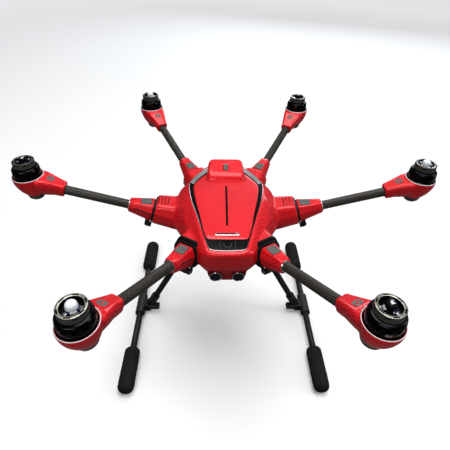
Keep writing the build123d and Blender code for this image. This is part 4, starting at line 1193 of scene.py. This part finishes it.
def spokes_mesh():
    """Three arched spokes from the hub to the dish's wall."""
    parts = []
    for k in range(3):
        turn = Matrix.Rotation(2 * pi / 3 * k, 4, "Z")
        rings = []
        for r, half, top in ((HUB_R - 0.5, 2.6, 19.0), (6.0, 2.0, 18.3), (7.6, 1.9, 18.0),
                             (RING_R - 3.0, 2.5, 18.5)):
            ring = [(r, -half, 15.5), (r, half, 15.5), (r, half, top - 0.5), (r, half - 0.5, top),
                    (r, -half + 0.5, top), (r, -half, top - 0.5)]
            rings.append([tuple(turn @ Vector(p)) for p in ring])
        parts.append(ringed(rings))
    return solid_mesh("spokes", *parts)


def locks_mesh():
    """The small bright catches on the spokes."""
    blocks = []
    for k in range(3):
        turn = Matrix.Rotation(2 * pi / 3 * k, 4, "Z")
        blocks.append(boxed((6.0, 8.2), (-1.3, 1.3), (17.8, 19.0), turn))
    return solid_mesh("locks", *blocks)


def hub_mesh(silver):
    """The propeller hub: a plain domed nut, or a stepped one."""
    if silver:
        profile = [(HUB_R + 0.5, 15.6), (HUB_R + 0.5, 17.6), (HUB_R, 18.1), (HUB_R, 21.3),
                   (HUB_R - 0.35, 22.9),
                   (HUB_R - 1.3, 24.1), (HUB_R - 2.7, 24.8), (0.3, HUB_TOP)]
    else:
        profile = [(HUB_R + 0.7, 15.6), (HUB_R + 0.7, 17.9), (HUB_R + 0.3, 18.4), (HUB_R - 0.3, 18.5),
                   (HUB_R - 0.3, 22.6), (HUB_R - 0.8, 23.1), (2.4, 23.2), (0.3, 23.2)]
    return to_mesh("hub", *turned(profile, 56))


def cap_mesh():
    profile = [(2.3, 22.8), (2.3, 23.9), (2.0, 24.5), (1.2, 24.9), (0.2, HUB_TOP)]
    return to_mesh("cap", *turned(profile, 40))


def windings_mesh():
    """Copper coils on the stator's teeth."""
    coils = []
    for k in range(POLES):
        turn = Matrix.Rotation(2 * pi * k / POLES, 4, "Z")
        for wrap in range(6):
            r = 7.4 + 0.95 * wrap
            grow = 0.25 if wrap % 2 else 0.0
            half, tall = 1.7 + 0.12 * wrap + grow, 2.5 + grow
            ring = rounded_corners(trapezoid(half, COIL_Z - tall, half, COIL_Z + tall), 0.9, 3)
            coils.append(ringed([[tuple(turn @ Vector((r + ds, p.x * scale, COIL_Z + (p.y - COIL_Z) * scale)))
                                  for p in ring]
                                 for ds, scale in ((0, 0.9), (0.22, 1.0), (0.68, 1.0), (0.9, 0.9))]))
    return solid_mesh("coils", *coils)


def stator_mesh():
    """The base flange, bearing tube and laminated shoes."""
    parts = [turned([(SHAFT_R + 0.1, -5.8), (CAVITY_R - 0.2, -5.8), (CAVITY_R - 0.2, -4.9), (13.0, -4.2),
                     (12.2, -2.0), (11.4, -0.6), (6.6, -0.2), (6.4, 9.2), (4.4, 9.4), (4.2, 8.4),
                     (SHAFT_R + 0.1, 8.4)],
                    72)]
    for k in range(POLES):
        turn = Matrix.Rotation(2 * pi * k / POLES, 4, "Z")
        parts.append(boxed((6.3, 12.3), (-1.1, 1.1), (4.2, 8.6), turn))
        parts.append(boxed((12.9, 13.9), (-1.5, 1.5), (3.6, 9.2), turn))
    return solid_mesh("stator", *parts)


# A motor's pieces: name, body, finish, angle of sharp edges and the CAD node it stands for.
MOTOR_PIECES = [
    ("pod_shell", "arm", "red_arm", 50, "motor_pod"),
    # The rim's bead is a painted glint along the pod's rim.
    ("rim_glint_bead", "arm", "silver_painted_glint", None, None),
    ("pod_shade_liner", "arm", "gloss_black", 40, None),
    # The cavity's gloss black lining is painted shade at the motor's base inside the rim.
    ("lamp_lens", "arm", "lens", None, None),
    ("neck_inlay", "arm", "grey_button", 30, None),
    ("neck_dot", "arm", "red_arm", 30, None),
    ("stator", "arm", "motor_black", 30, "motor_base"),
    ("windings", "arm", "copper", 60, None),
    ("bell", "rotor", "motor_black", 35, "rotor"),
    ("bell_patch", "rotor", "olive_silver", 40, None),
    ("upper_ring", "rotor", "motor_black", 35, None),
    ("ring_sleeve", "rotor", "ring_grey", 35, None),
    ("ring_flat", "rotor", "olive_silver", 35, None),
    ("spokes", "rotor", "dish_blue", 40, None),
]


def make_motor(name, meshes, inlay_at):
    at, spin = pod_matrix(name), f"{name}_rotor"
    for part, body, finish, sharp, node in MOTOR_PIECES:
        piece(f"{name}_{part}", meshes[part], f"{name}_{body}", finish,
              at=at @ inlay_at if part.startswith("neck") else at,
              stands_for=[f"{name}_{node}"] if node else (), sharp=sharp)
    piece(f"{name}_catches", meshes["catches"], spin, "silver", at=at, smooth=False, bevel=0.25)
    silver = name in SILVER_HUBS
    piece(f"{name}_hub", meshes["silver_hub" if silver else "black_hub"], spin,
          "silver_painted_glint" if silver else "gloss_black", at=at, slot="motor_black", sharp=40)
    if not silver:
        piece(f"{name}_hub_cap", meshes["cap"], spin, "silver", at=at, sharp=40)


def make_motors():
    pod = pod_mesh()
    square = rounded_corners(trapezoid(4.6, -4.0, 4.6, 4.0), 2.6)
    inlay = [[(p.x * k, p.y * k, z) for p in square]
             for k, z in ((1.0, -0.5), (1.0, 0.25), (0.93, 0.45), (0.55, 0.42), (0.50, 0.15), (0.1, 0.12))]
    meshes = {
        "pod_shell": pod,
        "rim_glint_bead": to_mesh("rim", *bead(POD_R - 0.6, 0.0, 0.38)),
        "pod_shade_liner": wall_ring(CAVITY_R - 0.03, 0.25, -5.7, -0.2),
        "lamp_lens": lens_mesh(),
        "neck_inlay": to_mesh("inlay", *ringed(inlay)),
        "neck_dot": to_mesh("dot", *turned([(1.5, 0.0), (1.5, 0.28), (1.2, 0.42), (0.2, 0.45)], 24)),
        "stator": stator_mesh(),
        "windings": windings_mesh(),
        "bell": bell_mesh(),
        "bell_patch": bell_patch_mesh(),
        "upper_ring": upper_ring_mesh(),
        "ring_sleeve": sleeve_mesh(),
        "ring_flat": annulus_mesh(),
        "spokes": spokes_mesh(),
        "catches": locks_mesh(),
        "silver_hub": hub_mesh(True),
        "black_hub": hub_mesh(False),
        "cap": cap_mesh(),
    }
    inlay_at = on_surface(pod, -26.0, 0.0)
    for name in ARMS:
        make_motor(name, meshes, inlay_at)


# ---- arches round the front shoulders, nose sensors and legs ------------------------------------------
def make_arches():
    """The black hoods that end the front shoulders."""
    for name in ("front_left", "front_right"):
        rings = []
        for s, grow in ((-1.9, -1.2), (-1.5, 0.2), (-1.1, 0.45), (1.6, 0.45), (2.5, 0.2), (2.9, -0.6),
                        (2.9, -2.2),
                        (0.9, -2.4)):
            share = (s - SHOULDER_SPAN[0]) / (SHOULDER_SPAN[1] - SHOULDER_SPAN[0])
            half = between(SHOULDER_ROOT_HALF, SHOULDER_HALF, share)
            rings.append(grown_shoulder(half, s, grow))
        arch = to_mesh("arch", *ringed(rings))
        piece(f"{name}_arch", arch, "fuselage", "gloss_black", at=arm_matrix(name), sharp=45)


SONAR = Vector((13.0, -93.5, RIM_Z - 76.0))
SONAR_R = 7.0


def make_sonar():
    """The two range sensors under the nose: a can, a bright rim and a ridged gloss disc."""
    can = to_mesh("can", *turned([(SONAR_R - 0.4, -3.5), (SONAR_R, -3.1), (SONAR_R, 0.1),
                                  (SONAR_R - 0.3, 0.35),
                                  (SONAR_R - 0.9, 0.35), (SONAR_R - 1.1, -0.9), (0.3, -0.9)], 64))
    rim = to_mesh("rim", *bead(SONAR_R - 0.4, 0.3, 0.62, 64))
    ridges = [(5.6, -1.1), (5.6, -0.5), (5.0, -0.25), (4.6, -0.45), (4.1, -0.2), (3.6, -0.4), (3.1, -0.12),
              (2.5, -0.34), (1.9, -0.05), (1.2, 0.1), (0.2, 0.16)]
    disc = to_mesh("disc", *turned(ridges, 64))
    for side, x in SIDES.items():
        at = placed(x * SONAR.x, SONAR.y, SONAR.z) @ Matrix.Rotation(pi / 2, 4, "X")
        piece(f"{side}_sonar_can", can, "fuselage", "satin_black", at=at,
              stands_for=["sonar_sensors"], sharp=40)
        piece(f"{side}_sonar_rim", rim, "fuselage", "silver", at=at)
        piece(f"{side}_sonar_disc", disc, "fuselage", "sensor_disc", at=at, sharp=60)


HIP = Vector((36.0, 21.0, RIM_Z - 105.0))
FOOT_X = 124.0
SKID = Vector((137.7, 21.0, 10.8))
STRUT_R, SKID_R, PAD_R = 4.75, 4.8, 11.6
SKID_HALF, PAD_LEN = 148.0, 65.0


def tube_profile(start, end, radius):
    inner, on_edges = radius - 0.9, radius - 0.2
    return [(start, inner), (start, on_edges), (start + 0.3, radius), (end - 0.3, radius), (end, on_edges),
            (end, inner)]


def pad_mesh():
    """A foam grip along its own X: open at the tube's end, round at the other, flat where it stands."""
    profile = [(0.0, SKID_R + 0.05), (0.0, PAD_R - 4.0), (0.5, PAD_R - 2.4), (1.9, PAD_R - 0.9),
               (4.2, PAD_R - 0.15),
               (7.0, PAD_R)]
    profile += [(7.0 + 4.25 * k, PAD_R) for k in range(1, 12)]
    profile += [(PAD_LEN - 6.0, PAD_R - 0.3), (PAD_LEN - 3.0, PAD_R - 1.6), (PAD_LEN - 1.0, PAD_R - 3.9),
                (PAD_LEN - 0.1, PAD_R - 6.6), (PAD_LEN, PAD_R - 8.6), (PAD_LEN - 0.5, 1.6),
                (PAD_LEN - 0.6, 0.4)]
    points, faces = turned_along_x(profile, 72)
    swollen = []
    for x, y, z in points:
        swell = 1 - 0.012 * (1 + sin(x * 0.9 + 3 * atan2(z, y))) if hypot(y, z) > PAD_R - 1 else 1.0
        swollen.append((x, y * swell, max(z * swell, -SKID.z)))
    return to_mesh("pad", swollen, faces)


def make_legs():
    pad = pad_mesh()
    for side, sign in SIDES.items():
        leg = f"{side}_leg"
        hip, foot = Vector((sign * HIP.x, HIP.y, HIP.z)), Vector((sign * FOOT_X, HIP.y, SKID.z))
        down = foot - hip
        length = down.length
        strut = to_mesh("strut", *turned_along_x(tube_profile(12.1, length - 3.1, STRUT_R), 40))
        piece(f"{side}_strut", strut, leg, "carbon_dark", at=local_matrix(hip, down),
              stands_for=[f"{leg}_strut"])
        cuffs = []
        for s, width in ((33.2, 1.6), (length - 27.6, 1.6)):
            ring = [(s, STRUT_R), (s, STRUT_R + 1.9), (s + 0.3, STRUT_R + 2.2),
                    (s + width - 0.3, STRUT_R + 2.2),
                    (s + width, STRUT_R + 1.9), (s + width, STRUT_R)]
            cuffs.append(turned_along_x(ring, 40))
        piece(f"{side}_strut_cuffs", solid_mesh("cuffs", *cuffs), leg, "satin_black",
              at=local_matrix(hip, down), sharp=40)
        skid_at = Vector((sign * SKID.x, SKID.y, SKID.z))
        reach = SKID_HALF - 6.0
        skid = to_mesh("skid", *turned_along_x(tube_profile(-reach, reach, SKID_R), 40))
        piece(f"{side}_skid", skid, leg, "carbon_dark", at=local_matrix(skid_at, (0, 1, 0)),
              stands_for=[f"{side}_skid_tube"])
        for end, y in (("front", -1), ("rear", 1)):
            start = skid_at + Vector((0, y * (SKID_HALF - PAD_LEN), 0))
            grip = piece(f"{side}_{end}_pad", pad, leg, "foam", at=local_matrix(start, (0, y, 0)),
                         stands_for=[f"{side}_foam_pads"], sharp=70)


# ---- carried-over CAD nodes ------------------------------------------------------------------------
def dress_cad_nodes():
    """Every CAD node gets the detailed material of its slot."""
    slots = {part["node"]: part["material_slot"] for part in frame["record"]["subparts"]}
    for name, node in frame["nodes"].items():
        material = MATERIALS[SLOT_MATERIAL[slots[name]]]
        node.data.materials.clear()
        node.data.materials.append(material)


make_camera()
make_lights()
make_floor()
dress_cad_nodes()
make_shells()
make_deck()
make_hump()
make_deck_details()
make_arms()
make_motors()
make_arches()
make_sonar()
make_legs()
